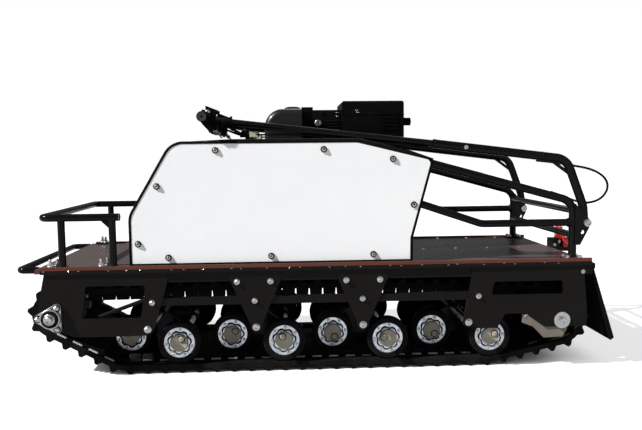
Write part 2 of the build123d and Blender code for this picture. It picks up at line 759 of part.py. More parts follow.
def rack_posts():
    """Four posts under the hoop, each on a foot plate."""
    posts = []
    for x in (rack_front_x - RACK_POST_FRONT, rack_rear_x + RACK_POST_REAR):
        post = rod_z(x, rack_y, RACK_POST_RADIUS, deck_top_z, rack_z)
        foot = block(x - RACK_POST_RADIUS, x - RACK_POST_RADIUS + RACK_FOOT_LENGTH,
                     rack_y - RACK_FOOT_WIDTH + RACK_POST_RADIUS, rack_y + RACK_POST_RADIUS,
                     deck_top_z, deck_top_z + FOOT_THICKNESS)
        posts.append(both_sides(post + foot - rack_path(RACK_RADIUS + FIT)))
    return gather(posts)


# Hood

def hood_outline(inset):
    """The hood's side outline, moved in by inset."""
    corners = [
        # x, z, corner radius
        (hood_front_x, deck_top_z, 0),
        (hood_front_x, deck_top_z + HOOD_NOSE_HEIGHT, HOOD_CORNER),
        (hood_front_x - HOOD_SLOPE, hood_top_z, HOOD_CORNER),
        (hood_foot_x + HOOD_TOP_END, hood_top_z, 0),
        (hood_tail_x, hood_top_z - HOOD_TAIL_DROP, HOOD_TAIL_CORNER),
        (hood_foot_x - HOOD_LEAN, deck_top_z + HOOD_KICK, 0),
        (hood_foot_x, deck_top_z, 0),
    ]
    face = rounded_face(corners)
    return offset(face, -inset) if inset else face


def hood_side():
    """The left white panel."""
    return side_slab(hood_outline(HOOD_PANEL_INSET), hood_frame_y, hood_side_y)


def hood_frames():
    """The black edge frames that the side panels are bolted to."""
    ring = hood_outline(0) - hood_outline(HOOD_FRAME)
    return both_sides(side_slab(ring, hood_frame_y - HOOD_FRAME, hood_frame_y))


def hood_skin():
    """The bent sheet over the front, top and rear, before it is cut into panels."""
    ring = hood_outline(0) - hood_outline(HOOD_SHEET)
    reach = hood_frame_y - HOOD_FRAME
    floor = block(deck_rear_x, DECK_FRONT_X, -reach, reach, 0, deck_top_z + HOOD_SHEET)
    return side_slab(ring, -reach, reach) - floor


def hood_zone(rear_x, front_x, low_z):
    """The room between two values of X, above the given height."""
    return block(rear_x, front_x, -deck_y, deck_y, low_z, engine_top_z)


def hood_front_panel():
    """Upright front and its slope."""
    return hood_skin() & hood_zone(hood_joint_front_x, DECK_FRONT_X, deck_top_z)


def hood_top_zone():
    """The room that holds the hood's top sheet."""
    return hood_zone(hood_joint_rear_x, hood_joint_front_x, hood_top_z - HOOD_TAIL_DROP - HOOD_TAIL_CORNER)


def hood_top_panel():
    """Flat top and rear slope, open round the engine."""
    half = ENGINE_WIDTH / 2 + HOOD_CLEARANCE
    opening = block(cleaner_rear_x - HOOD_CLEARANCE, engine_front_x + HOOD_CLEARANCE, -half, half,
                    deck_top_z, engine_top_z)
    return (hood_skin() & hood_top_zone()) - opening


def hood_rear_panel():
    """Leaning rear wall."""
    wall = hood_skin() & hood_zone(deck_rear_x, engine_rear_x, deck_top_z)
    return wall - hood_top_zone()


# Engine

def engine_block():
    """The closed mass of the engine, narrower where it comes up through the hood."""
    half = ENGINE_WIDTH / 2
    shoulder_z = hood_top_z - ENGINE_SHOULDER
    base = block(engine_rear_x, engine_front_x, -half, half, deck_top_z, shoulder_z)
    half -= ENGINE_SHOULDER
    return base + block(engine_rear_x, engine_front_x, -half, half, shoulder_z, engine_top_z)


def fuel_tank():
    """The rounded tank at the front of the engine's top."""
    half = TANK_WIDTH / 2
    tank = block(tank_rear_x, engine_front_x, -half, half, engine_top_z, engine_top_z + TANK_HEIGHT)
    front = tank.edges().filter_by(Axis.Y).sort_by(Axis.Z)[-2:].sort_by(Axis.X)[-1]
    tank = fillet(front, TANK_CORNER)
    sides = tank.faces().sort_by(Axis.Z)[-1].edges().filter_by(Axis.X)
    return fillet(sides, TANK_EDGE)


def fuel_cap():
    """The low round cap on the tank."""
    top = engine_top_z + TANK_HEIGHT
    return rod_z(tank_rear_x + CAP_RADIUS + CAP_MARGIN, 0, CAP_RADIUS, top, top + CAP_HEIGHT)


def control_box():
    """The upright box behind the tank."""
    return block(box_rear_x, tank_rear_x, -BOX_WIDTH / 2, BOX_WIDTH / 2,
                 engine_top_z, engine_top_z + BOX_HEIGHT)


def key_switch():
    """The round key switch on the left of the blower housing."""
    y = BLOWER_WIDTH / 2
    return rod_y(box_rear_x - KEY_MARGIN, engine_top_z + KEY_RISE, KEY_RADIUS, y, y + KEY_LENGTH)


def blower_housing():
    """The middle of the engine's top."""
    return block(cleaner_front_x, box_rear_x, -BLOWER_WIDTH / 2, BLOWER_WIDTH / 2,
                 engine_top_z, engine_top_z + BLOWER_HEIGHT)


def air_cleaner():
    """The tall box at the rear of the engine's top, ribbed on both sides, with a knob behind."""
    half = CLEANER_WIDTH / 2
    top = engine_top_z + CLEANER_HEIGHT
    body = block(cleaner_rear_x, cleaner_front_x, -half, half, engine_top_z, top)
    body = fillet(body.faces().sort_by(Axis.Z)[-1].edges(), CLEANER_EDGE)
    rib_x = cleaner_rear_x + RIB_MARGIN
    for k in range(RIB_COUNT):
        z = top - RIB_DROP - RIB_PITCH * k
        body += block(rib_x, rib_x + RIB_LENGTH, -half - RIB_DEPTH, half + RIB_DEPTH,
                      z - RIB_PITCH / 4, z + RIB_PITCH / 4)
    knob = Pos(cleaner_rear_x - KNOB_LENGTH / 2, 0, top - KNOB_DROP) * Rot(0, 90, 0)
    return body + knob * Cylinder(KNOB_RADIUS, KNOB_LENGTH)


# Rear frame

def upper_frame():
    """The left post and upper rail, one bent tube with its foot and pivot plates."""
    rail_end_z = hood_top_z - HOOD_TAIL_DROP - UPPER_RAIL_DROP
    points = [(post_x, frame_y, deck_top_z), (post_x, frame_y, post_bend_z),
              (hood_tail_x + UPPER_RAIL_LAP, frame_y, rail_end_z)]
    tube = pipe(points, FRAME_BEND, FRAME_RADIUS)
    foot = block(post_x - POST_FOOT / 2, post_x + POST_FOOT / 2, frame_y - POST_FOOT / 2,
                 frame_y + POST_FOOT_EDGE, deck_top_z, deck_top_z + FOOT_THICKNESS)
    inner, outer = frame_y - PIVOT_GAP / 2, frame_y + PIVOT_GAP / 2
    web = block(post_x - FRAME_RADIUS - PIVOT_WEB, post_x, inner, outer,
                pivot_z - PIVOT_WEB_FOOT, pivot_z + PIVOT_WEB_TOP)
    plate = side_face([
        (post_x, pivot_z + PIVOT_PLATE_TOP), (pivot_x, pivot_z + PIVOT_PLATE_EDGE),
        (pivot_x - PIVOT_PLATE_NOSE, pivot_z), (pivot_x - PIVOT_PLATE_NOSE / 2, pivot_z - PIVOT_PLATE_EDGE),
        (post_x - PIVOT_PLATE_CUT, pivot_z - PIVOT_PLATE_FOOT), (post_x, pivot_z - PIVOT_PLATE_FOOT)])
    plate -= Pos(pivot_x, pivot_z) * Circle(PIVOT_PIN_RADIUS + FIT)
    plate -= Pos(pivot_x + PIVOT_PLATE_NOSE, pivot_z - LOCK_HOLE_DROP) * Circle(LOCK_HOLE_RADIUS)
    plates = side_slab(plate, inner - PIVOT_PLATE, inner) + side_slab(plate, outer, outer + PIVOT_PLATE)
    hood = side_slab(hood_outline(0), 0, deck_y)
    return tube + foot + web + plates - hood


def lower_rail():
    """The left lower rail from the hood's frame back to the post."""
    points = [(post_x, frame_y, pivot_z), (hood_foot_x - LOWER_RAIL_RUN, frame_y, pivot_z),
              (hood_foot_x - LOWER_RAIL_LAP, frame_y, pivot_z + LOWER_RAIL_RISE)]
    post = rod_z(post_x, frame_y, FRAME_RADIUS, deck_top_z, post_bend_z)
    hood = side_slab(hood_outline(0), 0, deck_y)
    return pipe(points, LOWER_RAIL_BEND, LOWER_RAIL_RADIUS) - post - hood


def rear_frame_rails():
    """The lower rails, and the cross tubes that tie the two posts together."""
    frame = upper_frame()
    pieces = [both_sides(lower_rail())]
    for rise in CROSS_RISES:
        tube = rod_y(post_x, deck_top_z + rise, CROSS_RADIUS, -frame_y, frame_y)
        tube = tube - frame - mirror(frame, about=Plane.XZ)
        pieces.append(tube.solids().sort_by(SortBy.VOLUME)[-1])
    return gather(pieces)


def pivot_bolts():
    """The bolts that the tiller's arms turn on."""
    inner = frame_y - PIVOT_GAP / 2 - PIVOT_PLATE
    outer = frame_y + PIVOT_GAP / 2 + PIVOT_PLATE
    bolt = rod_y(pivot_x, pivot_z, PIVOT_PIN_RADIUS, inner - PIVOT_HEAD, outer + PIVOT_HEAD)
    bolt += rod_y(pivot_x, pivot_z, PIVOT_HEAD_RADIUS, outer, outer + PIVOT_HEAD)
    bolt += rod_y(pivot_x, pivot_z, PIVOT_HEAD_RADIUS, inner - PIVOT_HEAD, inner)
    return both_sides(bolt)


# Tiller

def tiller_arm():
    """The left arm: an eye on the pivot, a bend over the rear frame and a brace inside it."""
    y = frame_y
    route = [(pivot_x, pivot_z), *placed([ARM_HIP], pivot_x, pivot_z),
             *placed([ARM_KNEE], arm_bend_x, arm_bend_z), (arm_bend_x, arm_bend_z),
             (arm_joint_x, arm_joint_z)]
    arm = pipe([(x, y, z) for x, z in route], list(ARM_BENDS), ARM_RADIUS)
    half = PIVOT_GAP / 2 - ARM_EYE_PLAY
    arm += rod_y(pivot_x, pivot_z, ARM_EYE_RADIUS, y - half, y + half)
    ends = placed([BRACE_FOOT, BRACE_HEAD], arm_bend_x, arm_bend_z)
    arm += pipe([(x, y, z) for x, z in ends], None, BRACE_RADIUS)
    return arm - rod_y(pivot_x, pivot_z, PIVOT_PIN_RADIUS + FIT / 2, 0, 2 * y)


def tiller_front():
    """The thinner front tubes that run together to the handlebar, and the bar itself."""
    start = (arm_joint_x, frame_y, arm_joint_z)
    tube = pipe([start, (handle_x, handle_arm_y, handle_z)], None, FRONT_ARM_RADIUS)
    bar = rod_y(handle_x, handle_z, HANDLE_RADIUS, -HANDLE_WIDTH / 2, HANDLE_WIDTH / 2)
    arm = tiller_arm()
    front = bar + tube + mirror(tube, about=Plane.XZ)
    return front - arm - mirror(arm, about=Plane.XZ)


def grips():
    """The rubber grips on the ends of the bar."""
    end = HANDLE_WIDTH / 2
    grip = rod_y(handle_x, handle_z, GRIP_RADIUS, end - GRIP_LENGTH, end)
    return both_sides(grip - rod_y(handle_x, handle_z, HANDLE_RADIUS + FIT, 0, end))


def lever_units():
    """The clamp blocks of the throttle and brake levers."""
    half = LEVER_WIDTH / 2
    body = side_face(placed(LEVER_OUTLINE, handle_x, handle_z))
    unit = side_slab(body, lever_y - half, lever_y + half)
    return both_sides(unit - rod_y(handle_x, handle_z, HANDLE_RADIUS + FIT, 0, HANDLE_WIDTH))


# Rear pieces

def mud_flap():
    """The slanting rubber sheet behind the track."""
    low_z = deck_under_z - REAR_BEAM
    front_x, back_x = plate_rear_x, plate_rear_x - FLAP_SLANT
    sheet = side_face([
        (front_x, deck_under_z), (front_x, low_z), (back_x + FLAP_THICKNESS, FLAP_BOTTOM_Z),
        (back_x, FLAP_BOTTOM_Z + FLAP_BEVEL), (front_x - FLAP_THICKNESS, low_z),
        (front_x - FLAP_THICKNESS, deck_under_z)])
    half = deck_y - FLAP_INSET
    return side_slab(sheet, -half, half)


def tow_coupling():
    """The jaw behind the rear beam that a sled's drawbar is pinned in."""
    front_x = plate_rear_x - FLAP_THICKNESS
    half = COUPLING_WIDTH / 2
    rear_x = front_x - COUPLING_LENGTH
    body = block(rear_x, deck_rear_x, -half, half, deck_under_z, deck_under_z + COUPLING_HEIGHT)
    mouth_z = deck_under_z + (COUPLING_HEIGHT - COUPLING_MOUTH) / 2
    mouth = block(rear_x, front_x - COUPLING_WALL, -half, half, mouth_z, mouth_z + COUPLING_MOUTH)
    pin_x = rear_x + COUPLING_LENGTH / 2
    pin = rod_z(pin_x, 0, COUPLING_PIN_RADIUS, deck_under_z, deck_under_z + COUPLING_HEIGHT)
    return body - mouth - pin


def coupling_latch():
    """The red latch handle on top of the coupling."""
    top = deck_under_z + COUPLING_HEIGHT
    lever = side_face(placed(LATCH_OUTLINE, plate_rear_x - FLAP_THICKNESS, top))
    return side_slab(lever, -LATCH_WIDTH / 2, LATCH_WIDTH / 2)


def control_cable():
    """The loop of cable clipped along the inside of the left arm and the upper rail."""
    y = frame_y - ARM_RADIUS - SEAT - CABLE_RADIUS
    route = placed(CABLE_ROUTE, arm_bend_x, arm_bend_z)
    return pipe([(x, y, z) for x, z in route], CABLE_BEND, CABLE_RADIUS)


PIECES = {
    "rubber_track": rubber_track,
    "side_angles": side_angles,
    "front_plates": front_plates,
    "tab_plates": tab_plates,
    "rear_plates": rear_plates,
    "front_struts": front_struts,
    "deck_board": deck_board,
    "deck_cross_tubes": cross_tubes,
    "side_rails": side_rails,
    "bogie_shafts": bogie_shafts,
    "bogie_rockers": bogie_rockers,
    "roller_axles": roller_axles,
    "roller_tyres": roller_tyres,
    "roller_discs": roller_discs,
    "drive_shaft": drive_shaft,
    "drive_sprockets": drive_sprockets,
    "front_bearings": lambda: both_sides(front_bearing()),
    "idler_axle": idler_axle,
    "idler_wheels": idler_wheels,
    "tension_brackets": tension_brackets,
    "return_rollers": return_rollers,
    "front_bumper": front_bumper,
    "rack_hoop": rack_hoop,
    "rack_posts": rack_posts,
    "hood_sides": lambda: both_sides(hood_side()),
    "hood_frames": hood_frames,
    "hood_front_panel": hood_front_panel,
    "hood_top_panel": hood_top_panel,
    "hood_rear_panel": hood_rear_panel,
    "engine_block": engine_block,
    "fuel_tank": fuel_tank,
    "fuel_cap": fuel_cap,
    "control_box": control_box,
    "key_switch": key_switch,
    "blower_housing": blower_housing,
    "air_cleaner": air_cleaner,
    "upper_frames": lambda: both_sides(upper_frame()),
    "rear_frame_rails": rear_frame_rails,
    "pivot_bolts": pivot_bolts,
    "tiller_arms": lambda: both_sides(tiller_arm()),
    "tiller_handlebar": tiller_front,
    "tiller_grips": grips,
    "tiller_levers": lever_units,
    "mud_flap": mud_flap,
    "tow_coupling": tow_coupling,
    "coupling_latch": coupling_latch,
    "control_cable": control_cable,
}

os.makedirs("parts", exist_ok=True)
for node, make in PIECES.items():
    export_step(make(), os.path.join("parts", node + ".step"))
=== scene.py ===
"""Dresses the packed snow tug: finishes, fasteners, wheel covers, engine trim, levers, light and camera."""
import logging
import math
from dataclasses import dataclass
from enum import Enum
from typing import Callable, Dict, List, Optional, Sequence, Tuple, Union

import bpy
from mathutils import Matrix, Vector


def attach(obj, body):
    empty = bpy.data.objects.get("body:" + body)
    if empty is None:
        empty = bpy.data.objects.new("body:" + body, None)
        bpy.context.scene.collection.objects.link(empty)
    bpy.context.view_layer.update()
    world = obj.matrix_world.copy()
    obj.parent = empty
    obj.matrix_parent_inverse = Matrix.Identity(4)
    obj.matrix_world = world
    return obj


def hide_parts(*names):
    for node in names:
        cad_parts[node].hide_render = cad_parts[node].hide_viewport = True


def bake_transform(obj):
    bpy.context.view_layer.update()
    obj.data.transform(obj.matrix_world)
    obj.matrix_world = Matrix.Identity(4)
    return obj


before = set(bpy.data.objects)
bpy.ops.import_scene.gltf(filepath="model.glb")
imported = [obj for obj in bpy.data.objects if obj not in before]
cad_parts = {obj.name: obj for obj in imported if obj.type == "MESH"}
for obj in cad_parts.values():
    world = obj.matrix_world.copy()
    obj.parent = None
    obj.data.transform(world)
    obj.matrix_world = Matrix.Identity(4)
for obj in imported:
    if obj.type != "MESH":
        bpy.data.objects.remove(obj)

LOG = logging.getLogger("snow_tug")
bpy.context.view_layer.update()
MM = 0.001
Colour = Tuple[float, float, float]
Point = Tuple[float, float, float]
Spot = Tuple[float, float]
Spots = Sequence[Spot]
Sizes = Tuple[float, ...]
Corners = Tuple[Point, Point]
Rows = Sequence[tuple]
Piece = bpy.types.Object
Socket = bpy.types.NodeSocket
FaceTest = Callable[[Vector, Vector], bool]


class Body(Enum):
    """The two bodies that pieces ride on."""

    CHASSIS = "chassis"
    TILLER = "tiller"


class Side(Enum):
    """The side of the machine that a piece faces."""

    LEFT = 1
    RIGHT = -1

    def turn(self) -> Matrix:
        """Returns the turn that makes a left-hand piece face this side."""
        return Matrix.Identity(4) if self is Side.LEFT else Matrix.Rotation(math.pi, 4, "Z")


# Places

FACE_UP = Matrix.Rotation(math.pi / 2, 4, "X")
FACE_REAR = Matrix.Rotation(math.pi / 2, 4, "Z")


def metres(point: Sequence[float]) -> Tuple[float, ...]:
    """Returns a point given in millimetres as metres."""
    return tuple(value * MM for value in point)


def at(x: float, y: float, z: float) -> Matrix:
    """Returns a move to a place given in millimetres."""
    return Matrix.Translation(metres((x, y, z)))


def both(x: float, y: float, z: float, turned: bool = True) -> List[Matrix]:
    """Returns a place on the left side and its twin on the right, turned to face its side or not."""
    return [at(x, side.value * y, z) @ (side.turn() if turned else Matrix.Identity(4)) for side in Side]


# Modelling by hand in edit mode, in millimetres

FACING = 0.9


def looks(x: float, y: float, z: float) -> FaceTest:
    """Returns a test for faces that look along a direction."""
    direction = Vector((x, y, z))
    return lambda centre, normal: normal.dot(direction) > FACING


LOOKS_LEFT = looks(0, 1, 0)
LOOKS_UP = looks(0, 0, 1)
LOOKS_FRONT = looks(1, 0, 0)
LOOKS_REAR = looks(-1, 0, 0)


def both_ends(centre: Vector, normal: Vector) -> bool:
    """Tests for faces at both ends of a bar that lies across the machine."""
    return abs(normal.y) > FACING


def every_face(centre: Vector, normal: Vector) -> bool:
    """Passes every face."""
    return True


@dataclass(frozen=True)
class Inset:
    """A step that insets the selected faces."""

    margin: float  # Width of the border
    rise: float = 0.0  # How far the faces move out

    def run(self) -> None:
        """Runs the step in edit mode."""
        bpy.ops.mesh.inset(thickness=self.margin * MM, depth=self.rise * MM, use_even_offset=True)


@dataclass(frozen=True)
class Pull:
    """A step that pulls the selected faces out."""

    move: Point  # How far along X, Y and Z

    def run(self) -> None:
        """Runs the step in edit mode."""
        bpy.ops.mesh.extrude_region_move(TRANSFORM_OT_translate={"value": metres(self.move)})


@dataclass(frozen=True)
class Taper:
    """A step that scales the selected faces."""

    size: Point  # Share along X, Y and Z
    # What stays in place, in millimetres. Without it, the middle of the faces
    centre: Optional[Point] = None

    def run(self) -> None:
        """Runs the step in edit mode."""
        about = {} if self.centre is None else {"center_override": metres(self.centre)}
        bpy.ops.transform.resize(value=self.size, **about)


@dataclass(frozen=True)
class Bore:
    """A step that joins the selected faces of two sides by a hole."""

    def run(self) -> None:
        """Runs the step in edit mode."""
        bpy.ops.mesh.bridge_edge_loops()


Step = Union[Inset, Pull, Taper, Bore]


class Bench:
    """Tools for modelling one mesh at a time with operators."""

    TURNS = {"X": (0.0, math.pi / 2, 0.0), "Y": (-math.pi / 2, 0.0, 0.0), "Z": (0.0, 0.0, 0.0)}
    RING_SEAT = 0.6
    MERGE = 1e-6
    WIRE_STEPS = 3
    WIRE_ANGLE = 60.0

    @staticmethod
    def clear() -> None:
        """Leaves edit mode and deselects everything."""
        if bpy.context.view_layer.objects.active and bpy.context.mode != "OBJECT":
            bpy.ops.object.mode_set(mode="OBJECT")
        bpy.ops.object.select_all(action="DESELECT")

    @classmethod
    def take(cls, piece: Piece) -> None:
        """Selects one piece alone and makes it active.

        Args:
            piece: The piece to work on.
        """
        cls.clear()
        piece.select_set(True)
        bpy.context.view_layer.objects.active = piece

    @staticmethod
    def label(piece: Piece, name: str) -> Piece:
        """Names a piece and its mesh.

        Args:
            piece: The piece to name.
            name: Its new name.

        Returns:
            The same piece.
        """
        piece.name = name
        piece.data.name = name
        return piece

    @classmethod
    def _adopt(cls, name: str) -> Piece:
        """Names the newest primitive, moves its place into its mesh and returns it."""
        bpy.ops.object.transform_apply(location=True, rotation=True, scale=True)
        return cls.label(bpy.context.object, name)

    @classmethod
    def rod(cls, name: str, radius: float, depth: float, middle: Point = (0, 0, 0), axis: str = "Y",
            sides: int = 24) -> Piece:
        """Adds a round or many-sided bar.

        Args:
            name: Name of the piece.
            radius: Its radius.
            depth: Length along the axis.
            middle: Middle of the bar.
            axis: X, Y or Z.
            sides: Number of flats.

        Returns:
            The new object.
        """
        cls.clear()
        bpy.ops.mesh.primitive_cylinder_add(vertices=sides, radius=radius * MM, depth=depth * MM,
                                            location=metres(middle), rotation=cls.TURNS[axis])
        return cls._adopt(name)

    @classmethod
    def box(cls, name: str, low: Point, high: Point) -> Piece:
        """Adds a box between two corners.

        Args:
            name: Name of the piece.
            low: Lowest corner.
            high: Highest corner.

        Returns:
            The new object.
        """
        cls.clear()
        middle = [(a + b) / 2 for a, b in zip(low, high)]
        sides = [b - a for a, b in zip(low, high)]
        bpy.ops.mesh.primitive_cube_add(size=1, location=metres(middle), scale=metres(sides))
        return cls._adopt(name)

    @classmethod
    def ring(cls, name: str, radius: float, thickness: float, middle: Point = (0, 0, 0), axis: str = "Y",
             sides: Tuple[int, int] = (24, 8), angle: float = 80.0) -> Piece:
        """Adds a round ring with a flattened seat.

        Args:
            name: Name of the piece.
            radius: Radius of the ring's middle.
            thickness: Radius of its section.
            middle: Middle of the ring.
            axis: X, Y or Z.
            sides: Steps round the ring and round its section.
            angle: Edges up to this many degrees are shaded smooth.

        Returns:
            The new object.
        """
        cls.clear()
        bpy.ops.mesh.primitive_torus_add(
            major_radius=radius * MM, minor_radius=thickness * MM, location=metres(middle),
            rotation=cls.TURNS[axis], major_segments=sides[0], minor_segments=sides[1])
        made = cls._adopt(name)
        along = "XYZ".index(axis)
        size = [cls.RING_SEAT if k == along else 1.0 for k in range(3)]
        cls.shape(made, lambda centre, normal: normal[along] < -0.5, Taper(tuple(size), middle))
        return cls.smooth(made, angle)

    @classmethod
    def select(cls, piece: Piece, test: FaceTest) -> None:
        """Opens edit mode with the faces selected that pass a test.

        Args:
            piece: The mesh to edit.
            test: Takes a face's centre and normal.
        """
        cls.take(piece)
        bpy.ops.object.mode_set(mode="EDIT")
        bpy.ops.mesh.select_mode(type="FACE")
        bpy.ops.mesh.select_all(action="DESELECT")
        bpy.ops.object.mode_set(mode="OBJECT")
        for face in piece.data.polygons:
            face.select = bool(test(face.center, face.normal))
        bpy.ops.object.mode_set(mode="EDIT")

    @classmethod
    def shape(cls, piece: Piece, test: FaceTest, *steps: Step) -> Piece:
        """Works on the faces that pass a test.

        Args:
            piece: The mesh to edit.
            test: Takes a face's centre and normal.
            steps: What is done to the faces, in order.

        Returns:
            The same object.
        """
        cls.select(piece, test)
        for step in steps:
            step.run()
        bpy.ops.object.mode_set(mode="OBJECT")
        return piece

    @classmethod
    def soften(cls, piece: Piece, width: float, segments: int = 2, angle: float = 35.0) -> Piece:
        """Rounds the sharp edges with an applied Bevel modifier.

        Args:
            piece: The mesh to round.
            width: Width of the rounding.
            segments: Steps across it.
            angle: Edges sharper than this many degrees are rounded.

        Returns:
            The same object.
        """
        cls.take(piece)
        bevel = piece.modifiers.new("edge", "BEVEL")
        bevel.width = width * MM
        bevel.segments = segments
        bevel.limit_method = "ANGLE"
        bevel.angle_limit = math.radians(angle)
        bpy.ops.object.modifier_apply(modifier=bevel.name)
        return piece

    @classmethod
    def cut(cls, piece: Piece, place: Point, outward: Point) -> Piece:
        """Cuts off what lies beyond a plane and closes the cut.

        Args:
            piece: The mesh to cut.
            place: A point on the plane.
            outward: The plane's normal, towards what goes.

        Returns:
            The same object.
        """
        cls.select(piece, every_face)
        bpy.ops.mesh.bisect(plane_co=metres(place), plane_no=outward, use_fill=True, clear_outer=True)
        bpy.ops.object.mode_set(mode="OBJECT")
        return piece

    @classmethod
    def smooth(cls, piece: Piece, angle: float) -> Piece:
        """Shades the faces smooth.

        Args:
            piece: The piece to shade.
            angle: Edges sharper than this many degrees stay sharp.

        Returns:
            The same piece.
        """
        cls.take(piece)
        bpy.ops.object.shade_smooth_by_angle(angle=math.radians(angle))
        return piece

    @staticmethod
    def copy(piece: Piece, place: Matrix) -> Piece:
        """Copies a piece with a mesh of its own.

        Args:
            piece: What to copy.
            place: Where the copy's mesh goes.

        Returns:
            The copy.
        """
        twin = piece.copy()
        twin.data = piece.data.copy()
        bpy.context.scene.collection.objects.link(twin)
        twin.data.transform(place)
        return twin

    @classmethod
    def join(cls, pieces: Sequence[Piece], name: str) -> Piece:
        """Joins pieces into one object.

        Args:
            pieces: The pieces, which are used up.
            name: Name of the joined piece.

        Returns:
            The joined object.
        """
        cls.clear()
        for piece in pieces:
            piece.select_set(True)
        bpy.context.view_layer.objects.active = pieces[0]
        if len(pieces) > 1:
            bpy.ops.object.join()
        return cls.label(bpy.context.view_layer.objects.active, name)

    @classmethod
    def spread(cls, model: Piece, places: Sequence[Matrix], name: str) -> Piece:
        """Copies a model to many places, joins the copies and removes the model.

        Args:
            model: The piece that was modelled once.
            places: One matrix for each copy.
            name: Name of the joined piece.

        Returns:
            The joined object.
        """
        copies = [cls.copy(model, place) for place in places]
        bpy.data.objects.remove(model)
        return cls.join(copies, name)

    @classmethod
    def outward(cls, piece: Piece) -> Piece:
        """Merges doubles and turns all normals outwards.

        Args:
            piece: The piece to mend.

        Returns:
            The same piece.
        """
        cls.select(piece, every_face)
        bpy.ops.mesh.remove_doubles(threshold=cls.MERGE)
        bpy.ops.mesh.normals_make_consistent(inside=False)
        bpy.ops.object.mode_set(mode="OBJECT")
        return piece

    @classmethod
    def paired(cls, piece: Piece, name: str) -> Piece:
        """Adds the mirror image of a left-hand piece by a Mirror modifier.

        Args:
            piece: The left-hand piece.
            name: Name of the pair.

        Returns:
            The pair.
        """
        cls.take(piece)
        flip = piece.modifiers.new("pair", "MIRROR")
        flip.use_axis = (False, True, False)
        flip.use_mirror_merge = False
        bpy.ops.object.modifier_apply(modifier=flip.name)
        return cls.label(piece, name)

    @staticmethod
    def line(name: str, points: Sequence[Point], order: int, steps: int) -> Piece:
        """Makes a smooth line with no thickness.

        Args:
            name: Name of the line.
            points: Its control points.
            order: 2 for straight runs, 3 for a smooth line.
            steps: Steps between two points.

        Returns:
            The curve object.
        """
        curve = bpy.data.curves.new(name, "CURVE")
        curve.dimensions = "3D"
        curve.resolution_u = steps
        spline = curve.splines.new("NURBS")
        spline.points.add(len(points) - 1)
        for knot, point in zip(spline.points, points):
            knot.co = (*metres(point), 1.0)
        spline.order_u = order
        spline.use_endpoint_u = True
        made = bpy.data.objects.new(name, curve)
        bpy.context.scene.collection.objects.link(made)
        return made

    @classmethod
    def route(cls, points: Sequence[Point], order: int, steps: int) -> List[Point]:
        """Reads points off a smooth line.

        Args:
            points: Control points of the line.
            order: 2 for straight runs, 3 for a smooth line.
            steps: Steps between two points.

        Returns:
            Points on the line, in order and in metres.
        """
        thread = cls.line("route", points, order, steps)
        mesh = bpy.data.meshes.new_from_object(thread)
        found = [tuple(corner.co) for corner in mesh.vertices]
        bpy.data.objects.remove(thread)
        bpy.data.meshes.remove(mesh)
        return found

    @classmethod
    def wire(cls, name: str, points: Sequence[Point], radius: float, order: int, steps: int) -> Piece:
        """Makes a round bar along a smooth line and turns it into a mesh.

        Args:
            name: Name of the piece.
            points: Control points of the line.
            radius: Radius of the bar.
            order: 2 for straight runs, 3 for a smooth line.
            steps: Steps between two points.

        Returns:
            The mesh object.
        """
        cls.clear()
        bar = cls.line(name, points, order, steps)
        bar.data.bevel_depth = radius * MM
        bar.data.bevel_resolution = cls.WIRE_STEPS
        bar.data.use_fill_caps = True
        cls.take(bar)
        bpy.ops.object.convert(target="MESH")
        bar = bpy.context.object
        bar.name = name
        return cls.outward(cls.smooth(bar, cls.WIRE_ANGLE))


# Shared effects of the finishes


class Tree:
    """Adds and links the nodes of one node tree."""

    def __init__(self, tree: bpy.types.NodeTree) -> None:
        """Keeps the tree that the nodes go into."""
        self.tree = tree

    def add(self, kind: str, **settings: object) -> bpy.types.Node:
        """Adds a node.

        Args:
            kind: Blender's name of the node type.
            settings: Properties of the node, or what goes into its inputs, a value or a socket, by the
                input's name with spaces as underscores.

        Returns:
            The new node.
        """
        node = self.tree.nodes.new(kind)
        for key, value in settings.items():
            plug = node.inputs.get(key.replace("_", " "))
            if plug is None or hasattr(node, key):
                setattr(node, key, value)
            elif isinstance(value, Socket):
                self.link(value, plug)
            else:
                plug.default_value = value
        return node

    def link(self, source: Socket, target: Socket) -> None:
        """Links two sockets."""
        self.tree.links.new(source, target)

    def place(self) -> Socket:
        """Returns the socket of the place on the machine."""
        return self.add("ShaderNodeTexCoord").outputs["Object"]

    def normal(self, axis: str) -> Socket:
        """Returns the socket of one axis of the surface's normal."""
        return self.part(self.add("ShaderNodeNewGeometry").outputs["Normal"], axis)

    def part(self, vector: Socket, axis: str) -> Socket:
        """Returns the socket of one axis of a vector."""
        return self.add("ShaderNodeSeparateXYZ", Vector=vector).outputs[axis]

    def noise(self, **settings: object) -> Socket:
        """Adds a noise texture and returns its socket."""
        return self.add("ShaderNodeTexNoise", **settings).outputs["Fac"]

    def span(self, value: Socket, **limits: object) -> Socket:
        """Maps a value from one range to another and returns its socket."""
        return self.add("ShaderNodeMapRange", Value=value, **limits).outputs[0]

    def mix(self, factor: Socket, first: object, second: object) -> Socket:
        """Mixes two colours.

        Args:
            factor: Socket of the share of the second colour.
            first: A colour or a colour socket.
            second: A colour or a colour socket.

        Returns:
            The socket of the mixed colour.
        """
        node = self.add("ShaderNodeMix", data_type="RGBA")
        self.link(factor, node.inputs[0])
        for value, plug in ((first, node.inputs[6]), (second, node.inputs[7])):
            if isinstance(value, Socket):
                self.link(value, plug)
            else:
                plug.default_value = (*value, 1.0)
        return node.outputs[2]

    def sum(self, first: Socket, second: Socket, how: str = "ADD") -> Socket:
        """Joins two values by a Math node.

        Args:
            first: Socket of the first value.
            second: Socket of the second.
            how: The node's operation.

        Returns:
            The result's socket.
        """
        node = self.add("ShaderNodeMath", operation=how)
        self.link(first, node.inputs[0])
        self.link(second, node.inputs[1])
        return node.outputs[0]


